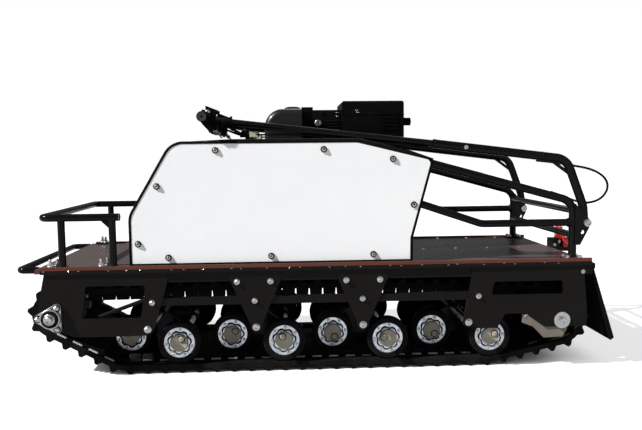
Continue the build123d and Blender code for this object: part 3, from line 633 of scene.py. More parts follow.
class Effects:
    """Node groups that several finishes share."""

    def __init__(self) -> None:
        """Builds each group once."""
        self.grain = self._grain()
        self.dust = self._dust()
        self.scuff = self._scuff()

    @staticmethod
    def _group(name: str, inputs: Dict[str, float], outputs: Sequence[str]) -> Tree:
        """Makes an empty group with its sockets.

        Args:
            name: Name of the group.
            inputs: Default value of each input.
            outputs: Names of the outputs.

        Returns:
            A helper for the group's nodes.
        """
        group = bpy.data.node_groups.new(name, "ShaderNodeTree")
        for label, value in inputs.items():
            socket = group.interface.new_socket(label, in_out="INPUT", socket_type="NodeSocketFloat")
            socket.default_value = value
        for label in outputs:
            group.interface.new_socket(label, in_out="OUTPUT", socket_type="NodeSocketFloat")
        return Tree(group)

    def _grain(self) -> bpy.types.NodeTree:
        """Builds broad mottling and a fine grain.

        Returns:
            The group.
        """
        tree = self._group("fine_grain", {"Fine": 400.0, "Broad": 6.0}, ("Mottle", "Height"))
        source = tree.add("NodeGroupInput").outputs
        place = tree.place()
        fine = tree.noise(Detail=2.0, Roughness=0.5, Vector=place, Scale=source["Fine"])
        broad = tree.noise(Detail=4.0, Roughness=0.6, Vector=place, Scale=source["Broad"])
        tree.add("NodeGroupOutput", Mottle=broad, Height=fine)
        return tree.tree

    def _dust(self) -> bpy.types.NodeTree:
        """Builds dust that settles on faces that look up, and low on the machine.

        Returns:
            The group.
        """
        tree = self._group("settled_dust", {"Amount": 0.3, "Scale": 18.0, "Floor": 0.25}, ("Mask",))
        source = tree.add("NodeGroupInput").outputs
        place = tree.place()
        noise = tree.noise(Detail=5.0, Roughness=0.65, Vector=place, Scale=source["Scale"])
        up = tree.span(tree.normal("Z"), From_Min=0.1, From_Max=0.95, To_Min=0.12, To_Max=1.0)
        low = tree.span(tree.part(place, "Z"), From_Min=0.0, From_Max=source["Floor"], To_Min=1.0, To_Max=0.0)
        patch = tree.span(noise, From_Min=0.38, From_Max=0.72)
        either = tree.sum(tree.sum(up, low, "MAXIMUM"), patch, "MULTIPLY")
        tree.add("NodeGroupOutput", Mask=tree.sum(either, source["Amount"], "MULTIPLY"))
        return tree.tree

    def _scuff(self) -> bpy.types.NodeTree:
        """Builds thin scratches and chips along the length of the machine.

        Returns:
            The group.
        """
        tree = self._group("scuffs", {"Amount": 0.3, "Scale": 30.0}, ("Mask",))
        source = tree.add("NodeGroupInput").outputs
        stretch = tree.add("ShaderNodeMapping", Vector=tree.place(), Rotation=(0.3, 0.2, 0.5),
                           Scale=(0.35, 1.6, 2.4))
        noise = tree.noise(Detail=6.0, Roughness=0.7, Vector=stretch.outputs[0], Scale=source["Scale"])
        chip = tree.span(noise, From_Min=0.66, From_Max=0.74)
        tree.add("NodeGroupOutput", Mask=tree.sum(chip, source["Amount"], "MULTIPLY"))
        return tree.tree


EFFECTS = Effects()
MATERIALS: Dict[str, bpy.types.Material] = {}


# Finishes


@dataclass(frozen=True)
class Finish:
    """A finish with mottling, grain, scuffs and dust."""

    COAT_ROUGHNESS = 0.12
    DULL_SHINE = 0.2
    DULL_IOR = 1.3
    IOR = 1.5
    GRAIN_DEPTH = 0.001

    name: str  # Name of the material
    slot: str  # Slot of the pieces that have it
    colour: Colour  # Main colour
    shade: Colour  # Colour that the mottling turns towards
    roughness: Sizes = (0.35, 0.5)  # Lowest and highest roughness
    metallic: float = 0.0  # 1 for bare metal
    coat: float = 0.0  # Weight of a clear coat
    fine: float = 500.0  # Scale of the grain
    broad: float = 7.0  # Scale of the mottling
    bump: float = 0.12  # Strength of the grain
    scuff: float = 0.25  # Amount of scratches
    scuff_colour: Colour = (0.12, 0.11, 0.10)  # What shows in a scratch
    dust: float = 0.12  # Amount of dust
    dust_colour: Colour = (0.22, 0.19, 0.16)  # Colour of the dust
    shine: float = 0.35  # Level of the mirror light of paint and rubber

    def base(self, tree: Tree, mottle: Socket) -> Socket:
        """Returns the socket of the colour before scuffs and dust."""
        return tree.mix(mottle, self.colour, self.shade)

    def relief(self, tree: Tree, height: Socket) -> Socket:
        """Returns the socket of the height that the bump reads."""
        return height

    def build(self) -> bpy.types.Material:
        """Makes the material once.

        Returns:
            The material.
        """
        if self.name in MATERIALS:
            return MATERIALS[self.name]
        made = bpy.data.materials.new(self.name)
        MATERIALS[self.name] = made
        made.use_nodes = True
        made.node_tree.nodes.clear()
        tree = Tree(made.node_tree)
        grain = tree.add("ShaderNodeGroup", node_tree=EFFECTS.grain)
        grain.inputs["Fine"].default_value = self.fine
        grain.inputs["Broad"].default_value = self.broad
        scuffs = tree.add("ShaderNodeGroup", node_tree=EFFECTS.scuff)
        dust = tree.add("ShaderNodeGroup", node_tree=EFFECTS.dust)
        scuffs.inputs["Amount"].default_value = self.scuff
        dust.inputs["Amount"].default_value = self.dust
        mottle = tree.span(grain.outputs["Mottle"], From_Min=0.3, From_Max=0.7)
        colour = tree.mix(scuffs.outputs["Mask"], self.base(tree, mottle), self.scuff_colour)
        colour = tree.mix(dust.outputs["Mask"], colour, self.dust_colour)
        rough = tree.span(mottle, To_Min=self.roughness[0], To_Max=self.roughness[1])
        bump = tree.add("ShaderNodeBump", Strength=self.bump, Distance=self.GRAIN_DEPTH,
                        Height=self.relief(tree, grain.outputs["Height"]))
        shader = tree.add("ShaderNodeBsdfPrincipled", Base_Color=colour, Metallic=self.metallic,
                          Roughness=tree.sum(rough, dust.outputs["Mask"]), Coat_Weight=self.coat,
                          Coat_Roughness=self.COAT_ROUGHNESS, Specular_IOR_Level=self.shine,
                          IOR=self.DULL_IOR if self.shine < self.DULL_SHINE else self.IOR,
                          Normal=bump.outputs[0])
        tree.add("ShaderNodeOutputMaterial", Surface=shader.outputs[0])
        return made


@dataclass(frozen=True)
class FilmPlywood(Finish):
    """Film-faced plywood: a glossy brown film above, thin layers at the edges."""

    edge: Colour = (0.150, 0.045, 0.030)  # Colour of the sealed edges
    layer: Colour = (0.085, 0.026, 0.019)  # Colour of the darker layers

    def base(self, tree: Tree, mottle: Socket) -> Socket:
        """Lays film on the flat faces and layers on the edges.

        Args:
            tree: The material's nodes.
            mottle: Socket of the mottling; not used.

        Returns:
            The socket of the colour.
        """
        place = tree.place()
        stretch = tree.add("ShaderNodeMapping", Vector=place, Scale=(1.5, 14.0, 14.0))
        streak = tree.noise(Scale=3.0, Detail=6.0, Roughness=0.7, Vector=stretch.outputs[0])
        film = tree.mix(streak, self.colour, self.shade)
        band = tree.add("ShaderNodeTexWave", bands_direction="Z", Scale=110.0, Distortion=1.5, Detail=2.0,
                        Vector=place)
        edge = tree.mix(band.outputs["Fac"], self.edge, self.layer)
        flat = tree.add("ShaderNodeMath", operation="ABSOLUTE", Value=tree.normal("Z"))
        return tree.mix(flat.outputs[0], edge, film)


@dataclass(frozen=True)
class ZincPlate(Finish):
    """Zinc with faint blue and yellow patches and a spangle."""

    tint: Colour = (0.55, 0.50, 0.36)  # Colour of the warm patches
    back: Optional[Colour] = None  # Painted shade: colour of faces that look inwards, across the machine, which lie in shade

    def base(self, tree: Tree, mottle: Socket) -> Socket:
        """Mixes cold and warm patches, and paints shade on faces that look inwards.

        Args:
            tree: The material's nodes.
            mottle: Socket of the mottling; not used.

        Returns:
            The socket of the colour.
        """
        place = tree.place()
        spangle = tree.add("ShaderNodeTexVoronoi", Scale=140.0, Vector=place)
        split = tree.add("ShaderNodeSeparateColor", Color=spangle.outputs["Color"])
        cold = tree.mix(split.outputs[0], self.colour, self.shade)
        warm = tree.noise(Scale=30.0, Detail=2.0, Vector=place)
        patch = tree.span(warm, From_Min=0.55, From_Max=0.75, To_Max=0.5)
        front = tree.mix(patch, cold, self.tint)
        if self.back is None:
            return front
        # Painted shade: faces that look towards the middle of the machine turn to the dark back colour
        across = tree.sum(tree.part(place, "Y"), tree.normal("Y"), "MULTIPLY")
        return tree.mix(tree.span(across, From_Min=0.02, From_Max=-0.02), front, self.back)


@dataclass(frozen=True)
class BeltRubber(Finish):
    """Belt rubber with fine ribs across the belt."""

    def relief(self, tree: Tree, height: Socket) -> Socket:
        """Adds ribs to the grain.

        Args:
            tree: Helper for the material's nodes.
            height: Socket of the grain's height.

        Returns:
            The socket of the whole height.
        """
        rib = tree.add("ShaderNodeTexWave", bands_direction="Y", Scale=90.0, Distortion=0.4,
                       Vector=tree.place())
        return tree.sum(height, rib.outputs["Fac"])


class Finishes(Enum):
    """Every finish of the machine."""

    BLACK_PAINT = Finish(
        "black_paint", "black_steel",
        (0.0054, 0.0047, 0.0043), (0.0084, 0.0072, 0.0064), (0.24, 0.36), coat=0.12,
        bump=0.04, dust=0.02, scuff=0.08, shine=0.08)
    TUBE_PAINT = Finish(
        "gloss_tube", "black_steel",
        (0.0022, 0.0022, 0.0024), (0.0036, 0.0034, 0.0034), (0.16, 0.24), coat=0.22,
        bump=0.03, dust=0.02, scuff=0.06, shine=0.08)
    TRACK_RUBBER = BeltRubber(
        "belt_rubber", "track_rubber",
        (0.0034, 0.0034, 0.0036), (0.0062, 0.0060, 0.0058), (0.5, 0.7), bump=0.35,
        fine=260.0, dust=0.05, scuff=0.12, scuff_colour=(0.035, 0.033, 0.031), shine=0.08)
    TYRE_RUBBER = Finish(
        "tyre_rubber", "roller_rubber",
        (0.0050, 0.0050, 0.0053), (0.0085, 0.0085, 0.0085), (0.50, 0.66), bump=0.2,
        dust=0.04, scuff=0.08, shine=0.08)
    PLYWOOD = FilmPlywood(
        "film_plywood", "plywood",
        (0.046, 0.033, 0.031), (0.080, 0.057, 0.053), (0.20, 0.32), coat=0.04,
        bump=0.05, dust=0.08, dust_colour=(0.20, 0.17, 0.155), scuff=0.3,
        scuff_colour=(0.13, 0.10, 0.092), shine=0.15)
    ZINC = ZincPlate(
        "zinc_plate", "zinc_steel",
        (0.66, 0.66, 0.64), (0.52, 0.53, 0.55), (0.24, 0.40), metallic=1.0, bump=0.08,
        dust=0.06, scuff=0.2, scuff_colour=(0.35, 0.34, 0.32), shine=0.5)
    # The discs' faces that look inwards get painted shade in a near-black back colour
    DISC = ZincPlate(
        "pressed_disc", "roller_disc",
        (0.86, 0.90, 0.95), (0.56, 0.63, 0.74), (0.22, 0.38), metallic=1.0, bump=0.1,
        dust=0.06, scuff=0.25, tint=(0.50, 0.47, 0.50), scuff_colour=(0.30, 0.30, 0.30), shine=0.5,
        back=(0.010, 0.010, 0.011))
    CAP = Finish(
        "hub_cap", "beige_steel",
        (0.40, 0.36, 0.285), (0.27, 0.245, 0.205), (0.4, 0.55), broad=24.0, bump=0.08,
        dust=0.2, scuff=0.4, scuff_colour=(0.12, 0.105, 0.09))
    NYLON = Finish(
        "sprocket_nylon", "nylon",
        (0.012, 0.012, 0.0125), (0.022, 0.022, 0.023), (0.42, 0.55), dust=0.08)
    BEIGE = Finish(
        "bare_bracket", "beige_steel",
        (0.185, 0.160, 0.128), (0.120, 0.104, 0.084), (0.42, 0.6), broad=16.0,
        dust=0.12, scuff=0.30, scuff_colour=(0.28, 0.26, 0.22))
    CREAM = Finish(
        "connector_cream", "nylon",
        (0.60, 0.57, 0.46), (0.46, 0.43, 0.34), (0.35, 0.5), broad=40.0, dust=0.1,
        scuff=0.2, scuff_colour=(0.3, 0.28, 0.22))
    PANEL = Finish(
        "painted_panel", "white_panel",
        (0.865, 0.868, 0.870), (0.835, 0.838, 0.845), (0.32, 0.42), coat=0.15,
        fine=700.0, bump=0.03, dust=0.02, dust_colour=(0.72, 0.71, 0.69), scuff=0.04,
        scuff_colour=(0.8, 0.8, 0.79))
    ENGINE = Finish(
        "cast_engine", "engine_metal",
        (0.0028, 0.0028, 0.0031), (0.0058, 0.0056, 0.0054), (0.36, 0.52), bump=0.2,
        fine=350.0, dust=0.03, shine=0.10)
    PLASTIC = Finish(
        "satin_plastic", "black_plastic",
        (0.0024, 0.0024, 0.0028), (0.0042, 0.0042, 0.0046), (0.30, 0.44), bump=0.12,
        fine=900.0, dust=0.02, shine=0.10)
    TANK = Finish(
        "gloss_plastic", "black_plastic",
        (0.0040, 0.0040, 0.0046), (0.0070, 0.0070, 0.0076), (0.30, 0.42), coat=0.55,
        bump=0.08, fine=900.0, dust=0.05, shine=0.3)
    GRIP = Finish(
        "soft_grip", "grip_rubber",
        (0.0032, 0.0032, 0.0034), (0.0055, 0.0055, 0.0055), (0.5, 0.66), bump=0.2,
        fine=800.0, dust=0.02, shine=0.06)
    # Light steel clips, painted lighter and less metallic than the zinc so that they look bright even in
    # shade: partly their own colour, partly painted reflection of the sky
    CLIP = Finish(
        "clip_painted_sheen", "zinc_steel",
        (0.84, 0.85, 0.86), (0.66, 0.67, 0.69), (0.26, 0.42), metallic=0.3, dust=0.05,
        scuff=0.2, scuff_colour=(0.4, 0.4, 0.4), shine=0.5)
    CAP_RUBBER = Finish(
        "grip_face", "grip_rubber",
        (0.026, 0.026, 0.027), (0.036, 0.036, 0.036), (0.5, 0.62), bump=0.15, fine=800.0,
        dust=0.05, shine=0.2)
    RED = Finish(
        "signal_red", "latch_red",
        (0.56, 0.020, 0.014), (0.42, 0.016, 0.012), (0.26, 0.38), coat=0.3, dust=0.05,
        scuff=0.2, scuff_colour=(0.2, 0.05, 0.04))

    def material(self) -> bpy.types.Material:
        """Returns the material of this finish."""
        return self.value.build()


NODE_FINISHES: Dict[Finishes, Tuple[str, ...]] = {
    Finishes.TRACK_RUBBER: ("rubber_track",),
    Finishes.TYRE_RUBBER: ("roller_tyres", "return_rollers", "idler_wheels"),
    Finishes.BLACK_PAINT: (
        "side_angles", "front_plates", "tab_plates", "rear_plates", "deck_cross_tubes", "side_rails",
        "front_struts", "bogie_rockers", "hood_frames", "hood_front_panel", "hood_top_panel",
        "hood_rear_panel", "tow_coupling"),
    Finishes.TUBE_PAINT: (
        "front_bumper", "rack_hoop", "rack_posts", "upper_frames", "rear_frame_rails", "tiller_arms",
        "tiller_handlebar"),
    Finishes.PLYWOOD: ("deck_board",),
    Finishes.ZINC: (
        "bogie_shafts", "roller_axles", "drive_shaft", "front_bearings", "idler_axle", "pivot_bolts",
        "key_switch"),
    Finishes.DISC: ("roller_discs",),
    Finishes.NYLON: ("drive_sprockets",),
    Finishes.BEIGE: ("tension_brackets",),
    Finishes.PANEL: ("hood_sides",),
    Finishes.ENGINE: ("engine_block", "blower_housing"),
    Finishes.PLASTIC: ("fuel_cap", "control_box", "air_cleaner", "tiller_levers"),
    Finishes.TANK: ("fuel_tank",),
    Finishes.GRIP: ("tiller_grips", "mud_flap", "control_cable"),
    Finishes.RED: ("coupling_latch",),
}


def dress_nodes() -> None:
    """Gives every carried-over node its finish."""
    for finish, names in NODE_FINISHES.items():
        for name in names:
            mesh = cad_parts[name].data
            mesh.materials.clear()
            mesh.materials.append(finish.material())


def fit(piece: Piece, finish: Finishes, body: Body = Body.CHASSIS) -> Piece:
    """Gives a new piece its finish and the body that it rides on.

    Args:
        piece: The finished mesh.
        finish: Its finish.
        body: The body that carries it.

    Returns:
        The same object.
    """
    piece.data.materials.clear()
    piece.data.materials.append(finish.material())
    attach(piece, body.value)
    LOG.info("piece %s with %d faces on %s", piece.name, len(piece.data.polygons), body.value)
    return piece


def put(model: Piece, places: Sequence[Matrix], name: str, finish: Finishes,
        body: Body = Body.CHASSIS) -> Piece:
    """Copies a model to its places, fits the joined copies and returns them."""
    return fit(Bench.spread(model, places, name), finish, body)


def pair(piece: Piece, name: str, finish: Finishes, body: Body = Body.CHASSIS) -> Piece:
    """Mirrors a left-hand piece to the right, fits the pair and returns it."""
    return fit(Bench.paired(piece, name), finish, body)


# Fasteners, in millimetres


@dataclass(frozen=True)
class FlangeBolt:
    """A hexagon bolt with a flange, facing the left side."""

    SPIN = 0.9

    across: float  # Radius of the hexagon
    flange: float  # Radius of the flange
    height: float  # Height of the head

    def model(self, name: str) -> Piece:
        """Builds one bolt at the origin, its seat at Y 0.

        Args:
            name: Name of the piece.

        Returns:
            The bolt.
        """
        thick = self.height * 0.3
        seat = Bench.rod(name + "_seat", self.flange, thick, (0, thick / 2, 0), sides=20)
        Bench.shape(seat, LOOKS_LEFT, Inset(self.flange - self.across * 1.02, thick * 0.4))
        middle = (0, (self.height + thick) / 2, 0)
        head = Bench.rod(name + "_head", self.across, self.height - thick, middle, sides=6)
        Bench.shape(head, LOOKS_LEFT, Inset(self.across * 0.18, self.height * 0.1),
                    Inset(self.across * 0.3, -self.height * 0.08))
        return Bench.smooth(Bench.join([seat, head], name), 30)

    def row(self, name: str, places: Spots, y: float, body: Body = Body.CHASSIS,
            dark: bool = False) -> None:
        """Sets bolts on both sides of the machine.

        Args:
            name: Name of the joined piece.
            places: (x, z) of each bolt.
            y: Where the seat is on the left side.
            body: The body that carries them.
            dark: Whether they are the engine's black instead of zinc.
        """
        model = self.model(name + "_model")
        spots = []
        for number, (x, z) in enumerate(places):
            spin = Matrix.Rotation(self.SPIN * number, 4, "Y")
            spots += [spot @ spin for spot in both(x, y, z)]
        put(model, spots, name, Finishes.ENGINE if dark else Finishes.ZINC, body)


# Sub-assemblies, in millimetres

BOGIE_XS = tuple(509.7 - 316.0 * k for k in range(4))


@dataclass
class RoadRollers:
    """The rubber rings and the covers of the sixteen road rollers."""

    GROOVE = (Inset(5.5), Inset(0.8, -1.2), Inset(2.2), Inset(0.8, 1.2))
    HOLLOWS = ((-0.1, 0.965), (-0.8, 0.915))

    half_base: float = 81.4  # From a shaft to its rollers
    centre_z: float = 92.0  # Height of the roller axles
    inner_y: float = 137.0  # Middle of the inner rollers
    outer_y: float = 227.0  # Middle of the outer rollers
    radius: float = 63.7  # Radius of the rubber
    disc_radius: float = 46.1  # Radius of the disc in it
    width: float = 36.0  # Width of a roller
    lobes: int = 7  # Lobes of a cover, with a bolt between every two
    seal: Sizes = (37.4, 13.5, 14.8)  # (radius, back, face) of the dark seal, from the roller's middle
    plate: Sizes = (32.4, 14.5, 16.6)  # The same of the lobed plate
    cap: Sizes = (26.2, 7.6, 19.3)  # (radius, thickness, middle) of the hub cap
    cap_ring: Sizes = (1.4, 17.2)  # (thickness, middle) of the dark ring round the cap
    # (out from the middle, radius, thickness, middle) of the grease nipple
    nipple: Sizes = (14.2, 9.0, 3.0, 24.4)
    eye: Sizes = (9.8, 1.8, 23.6)  # (radius, thickness, middle) of the dark ring round the nipple
    bolt: FlangeBolt = FlangeBolt(3.6, 5.0, 4.6)  # The bolts between the lobes
    bolt_circle: Sizes = (39.5, 14.0)  # (radius, seat) of their circle
    # Turn of each nipple in degrees, front to rear
    nipple_turns: Sequence[float] = (60, 120, 130, 70, 250, 20, 235, 150)

    def spots(self, turned: bool = False) -> List[Matrix]:
        """Gives the places of all rollers.

        Args:
            turned: Whether each place is turned to its nipple.

        Returns:
            One matrix for each roller.
        """
        found = []
        for number, angle in enumerate(self.nipple_turns):
            bogie, rear = divmod(number, 2)
            x = BOGIE_XS[bogie] + (-self.half_base if rear else self.half_base)
            spin = Matrix.Rotation(-math.radians(angle) if turned else 0.0, 4, "Y")
            y = self.outer_y if rear else self.inner_y
            found += [spot @ spin for spot in both(x, y, self.centre_z)]
        return found

    def tyres(self) -> None:
        """Rubber rings with rounded shoulders and a moulded groove on each wall."""
        wall = self.radius - self.disc_radius - sum(step.margin for step in self.GROOVE)
        ring = Bench.rod("tyre", self.radius, self.width, sides=48)
        Bench.shape(ring, both_ends, *self.GROOVE, Inset(wall), Bore())
        Bench.smooth(Bench.soften(Bench.outward(ring), 4.0, 3, 60), 40)
        rings = put(ring, self.spots(), "roller_rubber_rings", Finishes.TYRE_RUBBER)
        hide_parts("roller_tyres")

    def _rosette(self, name: str, radius: float, low: float, high: float) -> Piece:
        """Builds a plate with lobes.

        Args:
            name: Name of the piece.
            radius: Radius to the lobes' tips.
            low: Y of its back.
            high: Y of its face.

        Returns:
            The plate.
        """
        plate = Bench.rod(name, radius, high - low, (0, (low + high) / 2, 0), sides=56)
        for depth, size in self.HOLLOWS:
            Bench.shape(plate, lambda centre, normal: abs(normal.y) < 0.5
                        and math.cos(self.lobes * math.atan2(centre.z, centre.x)) < depth,
                        Taper((size, 1.0, size), (0, 0, 0)))
        Bench.shape(plate, LOOKS_LEFT, Inset(1.2, 0.5))
        return Bench.smooth(plate, 35)

    def covers(self) -> None:
        """Dark seals, lobed plates, bolts, caps and grease nipples on the outer faces."""
        spots = self.spots(turned=True)
        put(self._rosette("seal", *self.seal), spots, "roller_seals", Finishes.TYRE_RUBBER)
        put(self._rosette("plate", *self.plate), spots, "roller_lobed_plates", Finishes.DISC)
        radius, thick, middle = self.cap
        cap = Bench.rod("cap", radius, thick, (0, middle, 0), sides=40)
        Bench.shape(cap, LOOKS_LEFT, Inset(1.8, 0.9), Inset(4.0, -0.6))
        put(Bench.smooth(cap, 25), spots, "roller_caps", Finishes.CAP)
        out, nipple_radius, nipple_thick, nipple_y = self.nipple
        ring = Bench.ring("ring", radius, self.cap_ring[0], (0, self.cap_ring[1], 0), sides=(40, 6))
        eye = Bench.ring("eye", self.eye[0], self.eye[1], (out, self.eye[2], 0), sides=(28, 6))
        put(Bench.join([ring, eye], "rings"), spots, "roller_cap_rings", Finishes.TYRE_RUBBER)
        nipple = Bench.rod("nipple", nipple_radius, nipple_thick, (out, nipple_y, 0))
        Bench.shape(nipple, LOOKS_LEFT, Inset(2.0, 0.8), Inset(3.4), Pull((0, 2.0, 0)))
        put(Bench.smooth(nipple, 25), spots, "roller_nipples", Finishes.CAP)
        turns = [Matrix.Rotation(math.tau * (k + 0.5) / self.lobes, 4, "Y") for k in range(self.lobes)]
        circle, seat = self.bolt_circle
        places = [spot @ turn @ at(circle, seat, 0) for spot in spots for turn in turns]
        put(self.bolt.model("disc_bolt"), places, "roller_disc_bolts", Finishes.ZINC)

    def build(self) -> None:
        """Makes all the rollers' pieces."""
        self.tyres()
        self.covers()


@dataclass
class SidePlates:
    """Bolts on the outside of the side plates."""

    face_y: float = 300.0  # Outer face of the plates
    # Rows of (name, bolt, places as (x, z)): at the bogie shafts, at the side rails, at the tabs' top
    # corners and at the rear corner
    rows: Rows = (
        ("bogie_bolts", FlangeBolt(7.8, 10.8, 9.0), tuple((x, 149.5) for x in BOGIE_XS)),
        ("rail_bolts", FlangeBolt(6.1, 8.4, 7.2), ((495, 228), (197, 228), (-121, 228), (-468, 228))),
        ("tab_bolts", FlangeBolt(6.6, 9.0, 8.0), ((248, 285), (150, 285), (-73, 284), (-173, 284))),
        ("rear_corner_bolts", FlangeBolt(4.2, 6.2, 4.5), ((-784, 296),)),
    )

    def build(self) -> None:
        """Sets the bolts."""
        for name, bolt, places in self.rows:
            bolt.row(name, places, self.face_y)


@dataclass
class HoodPanels:
    """Screws of the white side panels, and the trim and rims round their frames."""

    face_y: float = 290.0  # Outer face of the panels
    # Places of the screws
    screws: Spots = (
        (473.6, 566), (302.5, 668), (-11, 668), (-214, 638), (-275.5, 503), (-155, 358), (146, 358),
        (445, 358), (531.5, 399))
    washer: Sizes = (9.4, 3.4)  # (radius, thickness) of the dark washers
    head: Sizes = (5.8, 5.8)  # (radius, height) of the screws' heads
    socket: Sizes = (2.7, 1.2, 5.8)  # (radius, thickness, middle) of the dark hexagon in a head, painted shade in the socket's hollow
    # Rows of (x, z, corner radius) of the frames
    outline: Rows = (
        (554, 336, 0), (554, 480, 60), (429, 691, 60), (-108, 691, 30), (-332, 636, 18), (-269, 405, 20),
        (-268, 336, 0))
    corner_steps: int = 6  # Steps round a corner
    trim: Sizes = (4.4, 287.6)  # (radius, middle across the machine) of the trim
    rim: Sizes = (4.8, 285.0)  # The same of the bright rim along the top
    # Rows of (x, z) of the rim
    rim_line: Spots = (
        (404, 689), (376, 695.6), (-104, 695.6), (-122, 692.6), (-316, 645), (-332, 634))
    sill: Corners = ((-272, 284, 331.2), (558, 291.8, 341.5))  # Corners of the left sill

    def fasten(self) -> None:
        """Sets dark washers, cheese-head screws and dark hexagons in their sockets as painted shade."""
        spots = [spot for x, z in self.screws for spot in both(x, self.face_y, z)]
        radius, thick = self.washer
        washer = Bench.soften(Bench.rod("washer", radius, thick, (0, thick / 2, 0), sides=32), 0.5)
        put(Bench.smooth(washer, 40), spots, "hood_washers", Finishes.GRIP)
        radius, high = self.head
        head = Bench.rod("head", radius, high, (0, high / 2, 0), sides=28)
        Bench.shape(head, LOOKS_LEFT, Inset(1.0, 0.6), Inset(2.2, 0.1), Pull((0, -1.2, 0)))
        put(Bench.smooth(head, 42), spots, "hood_screws", Finishes.ZINC)
        # A black hexagon fills each socket: painted shade in its hollow
        radius, thick, middle = self.socket
        hexagon = Bench.rod("hexagon", radius, thick, (0, middle, 0), sides=6)
        Bench.shape(hexagon, LOOKS_LEFT, Inset(0.6, -0.3))
        put(hexagon, spots, "hood_screw_socket_shades", Finishes.GRIP)

    def edge(self, y: float) -> List[Point]:
        """Gives the points of the outline with its corners rounded.

        Args:
            y: Where the trim runs.

        Returns:
            Points on the outline, in order.
        """
        rows = [Vector((x, z)) for x, z, _ in self.outline]
        points = [rows[0]]
        for k in range(1, len(rows) - 1):
            corner, radius = rows[k], self.outline[k][2]
            back, ahead = (rows[k - 1] - corner).normalized(), (rows[k + 1] - corner).normalized()
            half = back.angle(ahead) / 2
            centre = corner + (back + ahead).normalized() * (radius / math.sin(half))
            first = corner + back * (radius / math.tan(half)) - centre
            last = corner + ahead * (radius / math.tan(half)) - centre
            start = math.atan2(first.y, first.x)
            sweep = (math.atan2(last.y, last.x) - start + math.pi) % math.tau - math.pi
            for step in range(self.corner_steps + 1):
                turn = start + sweep * step / self.corner_steps
                points.append(centre + radius * Vector((math.cos(turn), math.sin(turn))))
        points.append(rows[-1])
        return [(point.x, y, point.y) for point in points]

    def build(self) -> None:
        """Sets the screws and lays the trim, the rims and the sills."""
        self.fasten()
        radius, y = self.trim
        bars = [Bench.wire("trim", self.edge(side.value * y), radius, 2, 1) for side in Side]
        fit(Bench.join(bars, "hood_edge_trim"), Finishes.GRIP)
        radius, y = self.rim
        rim = Bench.wire("rim", [(x, y, z) for x, z in self.rim_line], radius, 2, 1)
        pair(rim, "hood_top_rims", Finishes.TUBE_PAINT)
        sill = Bench.shape(Bench.box("sill", *self.sill), LOOKS_LEFT, Inset(1.2, 0.6))
        pair(Bench.soften(sill, 1.0), "hood_sills", Finishes.GRIP)


@dataclass
class DriveBelt:
    """Steel clips and guide lugs on the inside of the belt."""

    row_y: float = 201.0  # Middle of the row of clips
    edge_y: float = 236.0  # Middle of a row that lies at the belt's edge
    edge_run: int = 1  # The run whose row lies there
    pitch: float = 52.0  # From one clip to the next
    clip: Corners = ((-15.0, -5.5, -0.6), (15.0, 5.5, 1.2))  # Corners of a clip on a face looking up
    guide_y: float = 177.0  # Middle of the row of guide lugs, between the two rows of rollers
    guide_pitch: float = 42.0  # From one guide lug to the next
    guide_foot: Sizes = (20.0, 14.0)  # Half length and half width of a guide lug
    guide_heights: Sizes = (33.0, 14.0)  # Heights of the guide lugs on the upper and the lower run
    root: float = 1.0  # How deep a lug's foot goes into the belt
    # Axles of the return rollers, which the upper run's lugs leave free
    axle_xs: Sequence[float] = (194.0, -122.0)
    axle_room: float = 36.0  # Room on each side of such an axle
    # Rows of (first x, first z, last x, last z) of straight runs, on the belt's inner face. The upper ones
    # run to the rear
    runs: Rows = (
        (-560, 28.0, 580, 28.0), (640.0, 45.5, 797.0, 128.8), (690.0, 247.0, 194.0, 252.0),
        (180.0, 252.0, -122.0, 252.0), (-135.0, 251.5, -612.0, 232.4))

    def lug(self, height: float) -> Piece:
        """Builds one guide lug that stands on a face looking up.

        Args:
            height: Its height.

        Returns:
            The lug.
        """
        long, wide = self.guide_foot
        lug = Bench.box("lug", (-long, -wide, -self.root), (long, wide, height))
        Bench.shape(lug, LOOKS_UP, Taper((0.92, 0.62, 1.0), (0, 0, height)))
        return Bench.smooth(Bench.soften(lug, 2.2), 50)

    @staticmethod
    def steps(run: Sizes, pitch: float) -> List[Spot]:
        """Walks along a run.

        Args:
            run: Its (first x, first z, last x, last z).
            pitch: From one step to the next.

        Returns:
            (x, z) of each step.
        """
        x0, z0, x1, z1 = run
        reach = math.hypot(x1 - x0, z1 - z0)
        shares = [k * pitch / reach for k in range(int(reach // pitch) + 1)]
        return [(x0 + (x1 - x0) * share, z0 + (z1 - z0) * share) for share in shares]

    def build(self) -> None:
        """Lays the clips and the guide lugs along the runs."""
        clips, upper, lower = [], [], []
        for number, run in enumerate(self.runs):
            x0, z0, x1, z1 = run
            tilt = Matrix.Rotation(-math.atan2(z1 - z0, x1 - x0), 4, "Y")
            row = self.edge_y if number == self.edge_run else self.row_y
            clips += [spot @ tilt for x, z in self.steps(run, self.pitch) for spot in both(x, row, z, False)]
            for x, z in self.steps(run, self.guide_pitch):
                lugs = [spot @ tilt for spot in both(x, self.guide_y, z, False)]
                if x1 > x0:
                    lower += lugs
                elif min(abs(x - axle) for axle in self.axle_xs) >= self.axle_room:
                    upper += lugs
        clip = Bench.shape(Bench.box("clip", *self.clip), LOOKS_UP, Inset(2.4, 1.0))
        put(Bench.soften(clip, 0.6, 1), clips, "belt_clips", Finishes.CLIP)
        rows = [Bench.spread(self.lug(height), places, "row")
                for height, places in zip(self.guide_heights, (upper, lower))]
        fit(Bench.join(rows, "belt_guide_lugs"), Finishes.TRACK_RUBBER)


